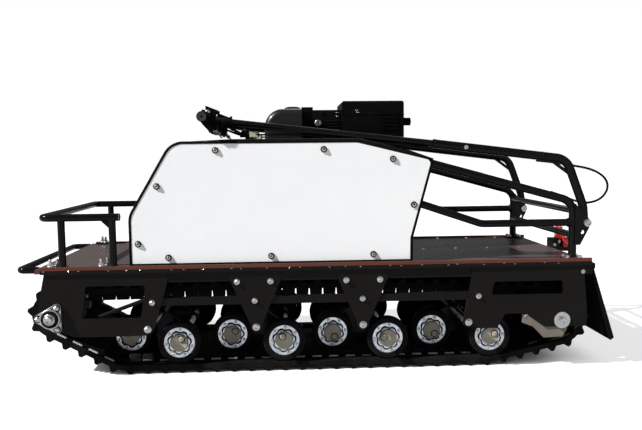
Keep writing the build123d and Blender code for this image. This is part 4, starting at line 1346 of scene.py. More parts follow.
@dataclass
class DriveBearings:
    """Bolts, seals and shaft ends of the front bearings."""

    centre: Spot = (785.0, 188.0)  # (x, z) of the shaft
    face_y: float = 308.0  # Outer face of the flange
    boss_y: float = 314.0  # Outer face of the boss
    circle: float = 36.0  # Radius of the bolts' circle
    turns: Sequence[float] = (0, 120, 240)  # Turn of each bolt in degrees
    bolt: FlangeBolt = FlangeBolt(6.0, 7.6, 7.5)  # The flange's bolts
    seat: Sizes = (11.2, 1.2, 0.4)  # (radius, thickness, middle) of the seats under them
    bolt_lift: float = 0.8  # From the flange to the bolts
    ring_lift: float = 0.3  # From the boss to its rings
    # Rows of (name, radius, thickness, finish) of the rings on the boss
    rings: Rows = (
        ("bearing_lips", 26.8, 2.6, Finishes.ZINC), ("bearing_seal_rings", 20.8, 4.2, Finishes.TYRE_RUBBER))
    stud: Sizes = (16.2, 5.0, 5.2)  # (radius, thickness, middle) of the shaft's end
    nipple: Sizes = (2.8, 7.0)  # (radius, height) of the grease nipples
    nipple_place: Sizes = (3.2, 23.0)  # (in from the boss, up from the shaft) of a nipple

    def build(self) -> None:
        """Sets seats, bolts, rings, shaft ends and grease nipples."""
        x, z = self.centre
        turns = [math.radians(angle) for angle in self.turns]
        places = [(x + self.circle * math.cos(turn), z + self.circle * math.sin(turn)) for turn in turns]
        radius, thick, middle = self.seat
        seat = Bench.soften(Bench.rod("seat", radius, thick, (0, middle, 0)), 0.4, 1)
        spots = [spot for across, up in places for spot in both(across, self.face_y, up)]
        put(seat, spots, "bearing_seats", Finishes.BLACK_PAINT)
        self.bolt.row("bearing_bolts", places, self.face_y + self.bolt_lift)
        spots = both(x, self.boss_y + self.ring_lift, z)
        for name, radius, thick, finish in self.rings:
            put(Bench.ring("ring", radius, thick, sides=(40, 8), angle=60), spots, name, finish)
        radius, thick, middle = self.stud
        stud = Bench.rod("stud", radius, thick, (0, middle, 0), sides=40)
        Bench.shape(stud, LOOKS_LEFT, Inset(1.6, 1.2), Inset(4.8, -0.8), Pull((0, 7.5, 0)), Inset(1.6, 1.0),
                    Inset(3.0, -1.2))
        put(Bench.smooth(stud, 30), spots, "shaft_studs", Finishes.ZINC)
        radius, high = self.nipple
        nipple = Bench.rod("nipple", radius, high, (0, 0, high / 2), "Z", 12)
        Bench.shape(nipple, LOOKS_UP, Inset(0.8), Pull((0, 0, 2.5)))
        Bench.smooth(Bench.soften(nipple, 0.4, 1), 40)
        inward, up = self.nipple_place
        put(nipple, both(x, self.boss_y - inward, z + up, False), "bearing_nipples", Finishes.ZINC)


@dataclass
class TrackTension:
    """Nuts of the rear axle, and blocks and clips of the brackets that it is pulled against."""

    axle: Spot = (-722.0, 150.0)  # (x, z) of the rear axle
    washer_y: float = 304.0  # Outer face of the big washer
    nut: FlangeBolt = FlangeBolt(9.8, 12.2, 9.5)  # The axle's nuts
    bracket_y: float = 296.0  # Outer face of the bracket
    block_place: Spot = (94.0, 18.0)  # (x, z) of the top of the bracket's front block, from the axle
    block: Corners = ((-13.0, -8.0, 0.0), (13.0, 0.5, 11.5))  # Corners of the block, from there
    clip: Corners = ((-19.0, -4.0, -3.0), (19.0, 1.6, 0.0))  # The same of the clip under it
    tooth: Corners = ((-2.5, -4.0, -8.5), (2.5, 1.6, -2.0))  # The same of a tooth of the clip
    tooth_xs: Sequence[float] = (-16.5, 16.5)  # Places of the two teeth

    def build(self) -> None:
        """Sets the nuts, the blocks and the clips."""
        self.nut.row("axle_nuts", [self.axle], self.washer_y)
        block = Bench.shape(Bench.box("block", *self.block), LOOKS_LEFT, Inset(1.6, 0.6))
        spots = both(self.axle[0] + self.block_place[0], self.bracket_y, self.axle[1] + self.block_place[1])
        put(Bench.soften(block, 0.8), spots, "tension_blocks", Finishes.BEIGE)
        tooth = Bench.box("tooth", *self.tooth)
        teeth = Bench.spread(tooth, [at(x, 0, 0) for x in self.tooth_xs], "teeth")
        clip = Bench.join([Bench.box("clip", *self.clip), teeth], "clip")
        put(Bench.soften(clip, 0.6, 1), spots, "tension_clips", Finishes.ZINC)


@dataclass
class DeckTrim:
    """Lips, raised edges and staples along the deck's sides, and screws in its top."""

    edge_y: float = 305.0  # The deck's side edge
    top_z: float = 331.0  # The deck's top
    lip: Corners = ((-808.5, 304.5, 316.0), (810.5, 306.2, 327.5))  # Corners of the left steel lip
    band: Corners = ((-808.8, 298.2, 326.0), (810.8, 305.8, 337.2))  # The same of the left raised edge
    staple: Corners = ((-2.4, -0.4, -0.7), (2.4, 0.6, 0.7))  # The same of a staple that faces left
    staple_row: Sizes = (800.0, -770.0)  # First and last x of the staples
    staple_pitch: float = 58.0  # About the gap between staples
    staple_z: float = 325.0  # Middle of the row
    staple_lift: float = 1.2  # From the deck's edge to a staple
    stray: Sizes = (17.0, 1.4, 0.5)  # How far a staple strays along the row, up and, in radians, in its turn
    stray_steps: Sizes = (2.3, 3.1, 1.7)  # How fast each of these changes from one staple to the next
    # Places of the deck screws along the machine
    screw_xs: Sequence[float] = (690, 560, -360, -470, -580, -690)
    screw_ys: Sequence[float] = (-282, 0, 282)  # Their places across it
    screw: Sizes = (5.5, 1.6, 0.2)  # (radius, thickness, middle) of a deck screw

    def staples(self) -> None:
        """Sets the staples, each a little out of line."""
        staple = Bench.shape(Bench.box("staple", *self.staple), LOOKS_LEFT, Inset(0.4, 0.3))
        first, last = self.staple_row
        spots = []
        for k in range(int((first - last) / self.staple_pitch)):
            back, up, turn = (far * math.sin(step * k) for far, step in zip(self.stray, self.stray_steps))
            lean = Matrix.Rotation(turn, 4, "Y")
            x, y = first - self.staple_pitch * k - back, self.edge_y + self.staple_lift
            spots += [spot @ lean for spot in both(x, y, self.staple_z + up)]
        put(staple, spots, "deck_staples", Finishes.ZINC)

    def build(self) -> None:
        """Lays the lips and the raised edges and sets the staples and the screws."""
        lip = Bench.shape(Bench.box("lip", *self.lip), LOOKS_LEFT, Inset(0.8, 0.5))
        pair(lip, "deck_lips", Finishes.BLACK_PAINT)
        band = Bench.shape(Bench.box("band", *self.band), LOOKS_UP, Inset(0.9, 0.4))
        pair(band, "deck_edge_bands", Finishes.PLYWOOD)
        self.staples()
        radius, thick, middle = self.screw
        screw = Bench.rod("screw", radius, thick, (0, 0, middle), "Z", 20)
        Bench.shape(screw, LOOKS_UP, Inset(1.2, 0.5), Inset(2.4, -0.8))
        spots = [at(x, y, self.top_z) for x in self.screw_xs for y in self.screw_ys]
        put(Bench.smooth(screw, 30), spots, "deck_screws", Finishes.ZINC)


@dataclass
class FrontRack:
    """Gussets, weld beads, tube ends and foot bolts of the front rack."""

    posts: Sequence[float] = (749.0, 604.0)  # The posts along the machine
    post_y: float = 291.0  # The posts across the machine
    hoop_z: float = 479.0  # Middle of the hoop
    foot_z: float = 336.0  # Top of the foot plates
    end_x: float = 582.0  # The open ends of the hoop
    # Corners of a gusset, from the post's middle at the hoop
    gusset: Corners = ((6.0, -2.5, -34.0), (30.0, 2.5, -8.0))
    # A point on the gusset's slant, and the way that the slant looks
    gusset_cut: Corners = ((30.0, 0.0, -12.0), (0.70, 0.0, -0.71))
    bead: Sizes = (11.2, 2.6)  # (radius, thickness) of the weld beads
    bead_lift: float = 0.6  # From a foot to its bead
    end: Sizes = (10.0, 1.2)  # The same of the rings at the tube ends
    nut: FlangeBolt = FlangeBolt(7.6, 10.2, 10.0)  # The nuts on the feet
    stud: Sizes = (4.3, 13.0, 15.0)  # (radius, length, middle) of the stud through a nut
    feet: Rows = ((35, -2), (20, 13))  # (forward, inward) of the bolts of a foot, from its post

    def spots(self, posts: Sequence[float], z: float, forward: float = 0.0,
              inward: float = 0.0) -> List[Matrix]:
        """Returns a place beside each post, on both sides."""
        return [spot for x in posts for spot in both(x + forward, self.post_y - inward, z, False)]

    def build(self) -> None:
        """Makes the rack's small pieces."""
        gusset = Bench.cut(Bench.box("gusset", *self.gusset), *self.gusset_cut)
        rear_posts = self.spots(self.posts[1:], self.hoop_z)
        put(Bench.soften(gusset, 0.6, 1), rear_posts, "rack_gussets", Finishes.BLACK_PAINT)
        bead = Bench.ring("bead", *self.bead, axis="Z", sides=(20, 6))
        feet = self.spots(self.posts, self.foot_z + self.bead_lift)
        put(bead, feet, "rack_weld_beads", Finishes.BLACK_PAINT)
        end = Bench.ring("end", *self.end, axis="X", sides=(28, 6))
        put(end, both(self.end_x, self.post_y, self.hoop_z, False), "rack_tube_ends", Finishes.ZINC)
        nut = self.nut.model("foot_nut")
        radius, long, middle = self.stud
        stud = Bench.rod("stud", radius, long, (0, middle, 0), sides=20)
        Bench.shape(stud, LOOKS_LEFT, Inset(1.0, 1.2))
        bolt = Bench.smooth(Bench.join([nut, stud], "foot_bolt"), 30)
        places = [spot @ FACE_UP for foot in self.feet for spot in self.spots(self.posts, self.foot_z, *foot)]
        put(bolt, places, "rack_foot_bolts", Finishes.ZINC)


@dataclass
class EngineTop:
    """Seams, slats, tabs, key, knob and screws of what stands out of the hood."""

    # Rows of (name, rear x, front x, half width, low z, how far out, thickness) of moulded seams
    seams: Rows = (
        ("tank_seam", 47, 165, 110, 734, 1.6, 4.0), ("cleaner_seam", -277, -80, 105, 776, 1.3, 3.2))
    slat: Corners = ((-30.0, -1.0, -1.6), (30.0, 3.4, 1.6))  # Corners of a cooling slat
    slat_x: float = -44.0  # Middle of the slats
    slat_zs: Sizes = (714.0, 9.0)  # Lowest slat, and from one to the next
    slats: int = 6  # Number of slats on a side
    blower_half: float = 85.0  # Half width of the blower housing
    box_half: float = 75.0  # Half width of the control box
    cap: Sizes = (75, 24, 798, 807)  # (x, radius, low z, high z) of the fuel cap
    cap_rib: float = 2.1  # Radius of a grip rib
    cap_ribs: int = 22  # Number of grip ribs
    # (in from the cap's edge, thickness, middle above the cap) of the raised disc
    cap_disc: Sizes = (4.0, 2.4, 0.6)
    knob: Sizes = (14.0, 42.0)  # (radius, length) of the knob at the rear of the air cleaner
    knob_place: Point = (-296.5, 0.0, 759.0)  # Its middle
    key: Spot = (-4, 752)  # (x, z) of the key switch
    key_ys: Sizes = (97.2, 96.0, 118.0)  # Middle of the key's bezel, and rear and front end of its blade
    bezel: Sizes = (8.8, 2.2)  # (radius, thickness) of the bezel
    blade: Sizes = (1.2, 7.0)  # Half thickness and half height of the blade
    blower_screw: FlangeBolt = FlangeBolt(3.6, 5.2, 3.6)  # A screw of the blower housing
    box_screw: FlangeBolt = FlangeBolt(3.6, 5.0, 3.6)  # A screw of the control box
    blower_screws: Spots = ((-66, 782), (-18, 784), (-66, 714))  # (x, z) of the housing's screws
    box_screws: Spots = ((29, 790), (29, 714))  # The same of the control box
    tab: Corners = ((-4.5, -0.6, -1.8), (4.5, 2.2, 1.8))  # Corners of a spring tab
    # Rows of (x, half width, z) of the bright spring tabs
    tabs: Rows = (
        (-67, 85, 785), (-67, 85, 773), (-127, 105, 791), (-131, 105, 784))

    def lay_seams(self) -> None:
        """Moulded seams round the tank and the air cleaner."""
        for name, rear, front, half, z, out, thick in self.seams:
            rim = Bench.box(name, (rear - out, -half - out, z), (front + out, half + out, z + thick))
            fit(Bench.soften(rim, 0.8), Finishes.PLASTIC)

    def lay_slats(self) -> None:
        """Cooling slats on both sides of the blower housing."""
        slat = Bench.shape(Bench.box("slat", *self.slat), LOOKS_LEFT, Pull((0, 1.2, -1.2)))
        low, pitch = self.slat_zs
        heights = [low + pitch * k for k in range(self.slats)]
        spots = [spot for z in heights for spot in both(self.slat_x, self.blower_half, z)]
        put(Bench.soften(slat, 0.6, 1), spots, "blower_slats", Finishes.ENGINE)

    def fuel_cap(self) -> None:
        """Grip ribs and a raised disc on the fuel cap."""
        x, radius, low, high = self.cap
        rib = Bench.soften(Bench.rod("rib", self.cap_rib, high - low, axis="Z", sides=10), 0.5, 1)
        turns = [Matrix.Rotation(math.tau * k / self.cap_ribs, 4, "Z") for k in range(self.cap_ribs)]
        spots = [at(x, 0, (low + high) / 2) @ turn @ at(radius, 0, 0) for turn in turns]
        put(rib, spots, "cap_ribs", Finishes.PLASTIC)
        inward, thick, up = self.cap_disc
        disc = Bench.rod("cap_disc", radius - inward, thick, (x, 0, high + up), "Z", 32)
        Bench.shape(disc, LOOKS_UP, Inset(4.0, 0.8))
        fit(Bench.smooth(Bench.soften(disc, 0.6), 35), Finishes.PLASTIC)

    def cleaner_knob(self) -> None:
        """The rounded knob at the rear of the air cleaner."""
        radius, long = self.knob
        x, y, z = self.knob_place
        shell = Bench.rod("cleaner_knob", radius, long, self.knob_place, "X", 32)
        Bench.shape(shell, LOOKS_REAR, Taper((1.0, 0.86, 0.86), (x - long / 2, y, z)))
        fit(Bench.smooth(Bench.soften(shell, 8.5, 5, 60), 70), Finishes.PLASTIC)

    def key_and_screws(self) -> None:
        """The key in its switch, the dark screws and the bright spring tabs."""
        x, z = self.key
        seat, rear, tip = self.key_ys
        fit(Bench.ring("key_bezel", *self.bezel, (x, seat, z), angle=70), Finishes.ZINC)
        thick, high = self.blade
        blade = Bench.box("key_blade", (x - thick, rear, z - high), (x + thick, tip, z + high))
        Bench.shape(blade, LOOKS_LEFT, Taper((1.0, 1.0, 1.5), (x, tip, z)))
        fit(Bench.soften(blade, 0.8), Finishes.PLASTIC)
        self.blower_screw.row("blower_screws", self.blower_screws, self.blower_half, dark=True)
        tab = Bench.shape(Bench.box("tab", *self.tab), LOOKS_LEFT, Inset(0.7, 1.0))
        spots = [spot for place in self.tabs for spot in both(*place)]
        put(Bench.soften(tab, 0.4, 1), spots, "cleaner_clips", Finishes.ZINC)
        self.box_screw.row("box_screws", self.box_screws, self.box_half, dark=True)

    def build(self) -> None:
        """Makes all of the engine's trim."""
        self.lay_seams()
        self.lay_slats()
        self.fuel_cap()
        self.cleaner_knob()
        self.key_and_screws()


@dataclass
class RearFrame:
    """Nuts, weld beads and foot bolts of the rear frame."""

    pivot: Spot = (-793.0, 442.0)  # (x, z) of the tiller's pivot
    pivot_y: float = 306.0  # Outer face of the pivot bolts' heads
    pivot_nut: FlangeBolt = FlangeBolt(8.8, 11.0, 6.0)  # The nuts there
    post_x: float = -758.0  # The posts along the machine
    post_y: float = 279.0  # The posts across the machine
    foot_z: float = 336.0  # Top of the foot plates
    foot_bolt: FlangeBolt = FlangeBolt(6.0, 8.0, 7.5)  # The bolts on the feet
    # (forward, outward) of the bolts of a foot, from its post
    feet: Rows = ((18, 13), (-18, 13), (18, -17), (-18, -17))
    post_bead: Sizes = (13.0, 3.0)  # (radius, thickness) of the weld beads at the feet
    bead_lift: float = 0.6  # From a foot to its bead
    rail_bead: Sizes = (11.8, 2.2)  # The same at the upper rails
    rail_ahead: float = 14.0  # From a post to the bead of its rail

    def build(self) -> None:
        """Makes the frame's small pieces."""
        self.pivot_nut.row("pivot_nuts", [self.pivot], self.pivot_y)
        bead = Bench.ring("bead", *self.post_bead, axis="Z", sides=(24, 6))
        spots = both(self.post_x, self.post_y, self.foot_z + self.bead_lift, False)
        put(bead, spots, "post_weld_beads", Finishes.BLACK_PAINT)
        spots = [spot @ FACE_UP for ahead, out in self.feet
                 for spot in both(self.post_x + ahead, self.post_y + out, self.foot_z, False)]
        put(self.foot_bolt.model("post_bolt"), spots, "post_foot_bolts", Finishes.ZINC)
        ring = Bench.ring("ring", *self.rail_bead, axis="X", sides=(24, 6))
        spots = both(self.post_x + self.rail_ahead, self.post_y, self.pivot[1], False)
        put(ring, spots, "rail_weld_beads", Finishes.BLACK_PAINT)


@dataclass
class Tiller:
    """Ribbed grips, levers, cables, collars and the control cable."""

    bar: Spot = (336.0, 764.0)  # (x, z) of the handlebar
    end_y: float = 320.0  # End of the bar
    grip_length: float = 115.0  # Length of a grip
    grip_radius: float = 15.4  # Radius of a grip
    grip_core: float = 1.4  # How far its core lies under that radius
    grip_ribs: int = 15  # Number of ribs on a grip
    grip_rib: float = 2.2  # Thickness of a rib
    first_rib: float = 13.0  # From a grip's inner end to its first rib
    rib_pitch: float = 6.2  # From one rib to the next
    # Rows of (from the grip's middle, how far past its radius) of the collars
    grip_collars: Rows = ((-54.5, 4.0), (55.0, 0.0))
    collar_width: float = 5.0  # Width of a collar
    face: Sizes = (12.8, 2.2, 0.4)  # (radius, thickness, past the bar's end) of the grips' faces
    lever_y: float = 178.0  # Middle of the lever clamps
    lever_face: float = 16.0  # From there to the clamp's outer face
    # Corners of a lever blade's root, from the bar
    blade: Corners = ((-40.0, 170.0, -45.0), (-26.0, 192.0, -40.0))
    # Rows of (move, share) that draw the blade out to its tip
    blade_bends: Rows = (
        ((0.0, 24.0, -6.0), 0.86), ((6.0, 50.0, 2.0), 0.95), ((4.0, 36.0, 6.0), 0.9))
    knob: Sizes = (6.2, 12.0)  # (radius, length) of the knob at a blade's tip
    knob_place: Point = (-23.0, 303.0, -40.5)  # Its middle, from the bar
    lever_bolt: FlangeBolt = FlangeBolt(5.4, 6.8, 5.8)  # A bolt of a lever
    lever_bolts: Spots = ((-18.0, -40.5), (-4.0, 20.0))  # (x, z) of a lever's bolts, from the bar
    strip: Corners = ((-15.0, -1.5, -3.4), (15.0, 1.5, 3.4))  # Corners of the pale strip under a lever
    strip_place: Point = (-36.0, 17.0, -47.0)  # Its place, from the bar and the clamp's middle
    strip_turn: float = 127.0  # Its slant in degrees
    lever_rib: Sizes = (1.3, 10.0)  # (radius, height) of a rib on the clamp
    lever_ribs: Sizes = (-30.0, 4.2, -6.0)  # (first x, pitch, z) of the ribs, from the bar
    lever_rib_count: int = 10  # Number of ribs
    # Corners of the fin above a lever, from the bar
    fin: Corners = ((-38.0, 170.0, 14.0), (3.0, 192.0, 39.0))
    # A point on its slant, from the bar, and the way that the slant looks
    fin_cut: Corners = ((-38.0, 0.0, 23.0), (-0.37, 0.0, 0.93))
    arm_y: float = 279.0  # Middle of the arms
    tube_y: float = 110.0  # Middle of the front tubes at the handlebar
    arm_foot: Spot = (-735.0, 632.0)  # (x, z) of the arm's bend
    arm_head: Spot = (-333.0, 682.0)  # (x, z) where the arm meets the front tube
    lead_radius: float = 2.8  # Radius of the cables along the tubes
    # Rows of (name, points from the lever on, points beside the tube as (x, how far below it, how far
    # outside it)) of the cables along the tubes
    lead_rows: Rows = (
        ("lower_cables", ((302, 180, 740), (272, 160, 727), (240, 146, 719), (180, 149, 715)),
         ((90, 17, 5), (0, 15.5, 5), (-110, 15, 5), (-210, 15, 5), (-300, 13, 5), (-330, 5, 0))),
        ("upper_cables", ((302, 176, 756), (268, 150, 742)),
         ((200, 11, 11), (90, 8, 11), (0, 6, 11), (-110, 5, 11), (-210, 4, 11), (-300, 4, 11), (-330, 3, 3))))
    shell: Corners = ((211, 138, 708), (240, 153, 730))  # Corners of the dark half of a connector
    # A point on its slant, and the way that the slant looks
    shell_cut: Corners = ((240, 140, 722), (0.7, 0, 0.71))
    plug: Corners = ((184, 139, 708), (212, 152, 726))  # Corners of the pale half
    link: Corners = ((-28.0, -4.0, -5.2), (28.0, 4.0, 5.2))  # Corners of a link blade
    link_place: Point = (266, 152, 736)  # Its place
    link_turn: float = 159.5  # Its slant in degrees
    link_tip: float = 2.0  # Height that its ends narrow to
    link_ends: Rows = ((1, 0.35), (-1, 0.7))  # Rows of (end, share) that narrow its ends
    tie: Sizes = (8.0, 3.0, 9.0)  # Half length, half width and height of a tie on a front tube
    tie_place: Sizes = (272, -9.0)  # (x, how far below the tube's middle) of the tie
    # A point on a tie's slant, from its low front edge, and the way that the slant looks
    tie_cut: Corners = ((0.0, 0.0, 1.0), (0.55, 0.0, 0.84))
    collar: Sizes = (13.1, 1.2)  # (radius, thickness) of a sleeve's end
    collar_shares: Sequence[float] = (0.185, 0.985)  # Places of the sleeve ends along an arm
    arm_bolt: FlangeBolt = FlangeBolt(4.4, 6.2, 5.0)  # The bolt through a sleeve
    arm_bolt_share: float = 0.76  # Its place along the arm
    arm_face: float = 12.6  # From the middle of an arm to its bolt's seat
    # Rows of (x, z) of the control cable
    cable: Spots = (
        (-650, 628), (-698, 623), (-750, 614), (-818, 602), (-862, 577), (-874, 543), (-852, 510),
        (-811, 497), (-770, 505), (-734, 521), (-695, 534))
    cable_y: float = 262.2  # Where the cable hangs
    cable_width: float = 6.8  # Diameter of the cable
    cable_length: float = 455.0  # Its length along the line

    def by_bar(self, point: Point) -> Point:
        """Returns a point whose X and Z are given from the handlebar."""
        return (self.bar[0] + point[0], point[1], self.bar[1] + point[2])

    def grips(self) -> None:
        """Rubber grips with ribs, two collars and a hollow face."""
        x, z = self.bar
        core = Bench.rod("core", self.grip_radius - self.grip_core, self.grip_length, sides=32)
        Bench.shape(core, LOOKS_LEFT, Inset(3.0, 0.8), Inset(4.0, -1.0))
        parts = [Bench.soften(core, 1.0, 2, 50)]
        rib = Bench.ring("rib", self.grip_radius - self.grip_rib, self.grip_rib, sides=(32, 8))
        first = self.first_rib - self.grip_length / 2
        places = [at(0, first + self.rib_pitch * k, 0) for k in range(self.grip_ribs)]
        parts.append(Bench.spread(rib, places, "ribs"))
        for y, grow in self.grip_collars:
            collar = Bench.rod("collar", self.grip_radius + grow, self.collar_width, (0, y, 0), sides=32)
            parts.append(Bench.soften(collar, 1.8, 3))
        grip = Bench.smooth(Bench.join(parts, "grip"), 50)
        spots = both(x, self.end_y - self.grip_length / 2, z)
        made = put(grip, spots, "ribbed_grips", Finishes.GRIP, Body.TILLER)
        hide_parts("tiller_grips")
        radius, thick, past = self.face
        face = Bench.rod("face", radius, thick, (x, self.end_y + past, z), sides=32)
        Bench.shape(face, LOOKS_LEFT, Inset(2.2, -0.6), Inset(7.4), Pull((0, -1.4, 0)))
        pair(Bench.smooth(face, 40), "grip_faces", Finishes.CAP_RUBBER, Body.TILLER)

    def levers(self) -> None:
        """Pale lever blades under the grips, their knobs, bolts, strips, ribs and fins."""
        x, z = self.bar
        clamp = self.lever_y + self.lever_face
        blade = Bench.box("blade", *(self.by_bar(corner) for corner in self.blade))
        for move, size in self.blade_bends:
            tip = max(face.center.y for face in blade.data.polygons) - 1e-5
            Bench.shape(blade, lambda centre, normal: centre.y > tip, Pull(move), Taper((size, 1.0, size)))
        Bench.smooth(Bench.soften(blade, 1.6), 45)
        pair(blade, "lever_blades", Finishes.ZINC, Body.TILLER)
        knob = Bench.rod("knob", *self.knob, self.by_bar(self.knob_place), sides=20)
        pair(Bench.smooth(Bench.soften(knob, 3.0, 3), 60), "lever_knobs", Finishes.GRIP, Body.TILLER)
        bolts = [(x + ahead, z + up) for ahead, up in self.lever_bolts]
        self.lever_bolt.row("lever_bolts", bolts, clamp, Body.TILLER)
        strip = Bench.box("strip", *self.strip)
        Bench.shape(strip, LOOKS_FRONT, Taper((1.0, 1.0, 0.6), (self.strip[1][0], 0, 0)))
        ahead, out, up = self.strip_place
        slant = Matrix.Rotation(math.radians(self.strip_turn), 4, "Y")
        place = at(x + ahead, self.lever_y + out, z + up) @ slant
        strip = Bench.spread(Bench.soften(strip, 0.8), [place], "strip")
        pair(strip, "lever_strips", Finishes.CREAM, Body.TILLER)
        radius, high = self.lever_rib
        rib = Bench.soften(Bench.rod("rib", radius, high, axis="Z", sides=10), 0.4, 1)
        first, pitch, up = self.lever_ribs
        row = [at(x + first + pitch * k, clamp, z + up) for k in range(self.lever_rib_count)]
        pair(Bench.spread(rib, row, "rib"), "lever_ribs", Finishes.ENGINE, Body.TILLER)
        fin = Bench.box("fin", *(self.by_bar(corner) for corner in self.fin))
        slant, looks_out = self.fin_cut
        Bench.cut(fin, self.by_bar(slant), looks_out)
        pair(Bench.soften(fin, 1.2), "lever_fins", Finishes.PLASTIC, Body.TILLER)

    def along(self, x: float, drop: float, out: float = 0.0) -> Point:
        """Gives a point beside the left front tube.

        Args:
            x: Place along the machine.
            drop: How far below the middle of the tube.
            out: How far outside it.

        Returns:
            The point.
        """
        share = (self.bar[0] - x) / (self.bar[0] - self.arm_head[0])
        y = self.tube_y + (self.arm_y - self.tube_y) * share + out
        z = self.bar[1] + (self.arm_head[1] - self.bar[1]) * share - drop
        return (x, y, z)

    def leads(self) -> None:
        """Two cables along each front tube, from the lever to the arm's sleeve."""
        for name, start, run in self.lead_rows:
            points = [*start, *(self.along(*row) for row in run)]
            pair(Bench.wire("line", points, self.lead_radius, 3, 5), name, Finishes.GRIP, Body.TILLER)

    def connectors(self) -> None:
        """The cables' connectors, link blades and ties."""
        shell = Bench.cut(Bench.box("shell", *self.shell), *self.shell_cut)
        pair(Bench.soften(shell, 2.2), "cable_shells", Finishes.PLASTIC, Body.TILLER)
        plug = Bench.shape(Bench.box("plug", *self.plug), LOOKS_REAR, Inset(1.8), Pull((-4.0, 0, 0)))
        pair(Bench.soften(plug, 1.2), "cable_plugs", Finishes.CREAM, Body.TILLER)
        blade = Bench.box("blade", *self.link)
        for end, size in self.link_ends:
            tip = (end * self.link[1][0], 0, self.link_tip)
            Bench.shape(blade, looks(end, 0, 0), Taper((1.0, 1.0, size), tip))
        place = at(*self.link_place) @ Matrix.Rotation(math.radians(self.link_turn), 4, "Y")
        blade = Bench.spread(Bench.soften(blade, 1.6), [place], "blade")
        pair(blade, "link_blades", Finishes.PLASTIC, Body.TILLER)
        x, y, z = self.along(*self.tie_place)
        half, side, high = self.tie
        tie = Bench.box("tie", (x - half, y - side, z), (x + half, y + side, z + high))
        slant, looks_out = self.tie_cut
        Bench.cut(tie, (x + half + slant[0], y + slant[1], z + slant[2]), looks_out)
        pair(Bench.soften(tie, 0.8, 1), "tube_ties", Finishes.PLASTIC, Body.TILLER)

    def on_arm(self, share: float) -> Spot:
        """Returns (x, z) at a share of the arm's length from its foot."""
        (x0, z0), (x1, z1) = self.arm_foot, self.arm_head
        return (x0 + (x1 - x0) * share, z0 + (z1 - z0) * share)

    def collars(self) -> None:
        """Sleeve ends and bolts on the arms."""
        (x0, z0), (x1, z1) = self.arm_foot, self.arm_head
        lean = Matrix.Rotation(-math.atan2(z1 - z0, x1 - x0), 4, "Y")
        ring = Bench.ring("ring", *self.collar, axis="X", sides=(28, 6))
        spots = []
        for x, z in map(self.on_arm, self.collar_shares):
            spots += [spot @ lean for spot in both(x, self.arm_y, z, False)]
        put(ring, spots, "arm_collars", Finishes.BLACK_PAINT, Body.TILLER)
        places = [self.on_arm(self.arm_bolt_share)]
        self.arm_bolt.row("arm_bolts", places, self.arm_y + self.arm_face, Body.TILLER)

    def hang_cable(self) -> None:
        """The control cable as a smooth line."""
        line = [(x, self.cable_y, z) for x, z in self.cable]
        cable = Bench.wire("smooth_control_cable", line, self.cable_width / 2, 3, 8)
        cable.data.materials.append(Finishes.GRIP.material())
        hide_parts("control_cable")
        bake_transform(cable)
        route = Bench.route(line, 3, 8)
        LOG.info("piece %s with %d faces on both bodies", cable.name, len(cable.data.polygons))

    def build(self) -> None:
        """Makes all of the tiller's pieces."""
        self.grips()
        self.levers()
        self.leads()
        self.connectors()
        self.collars()
        self.hang_cable()


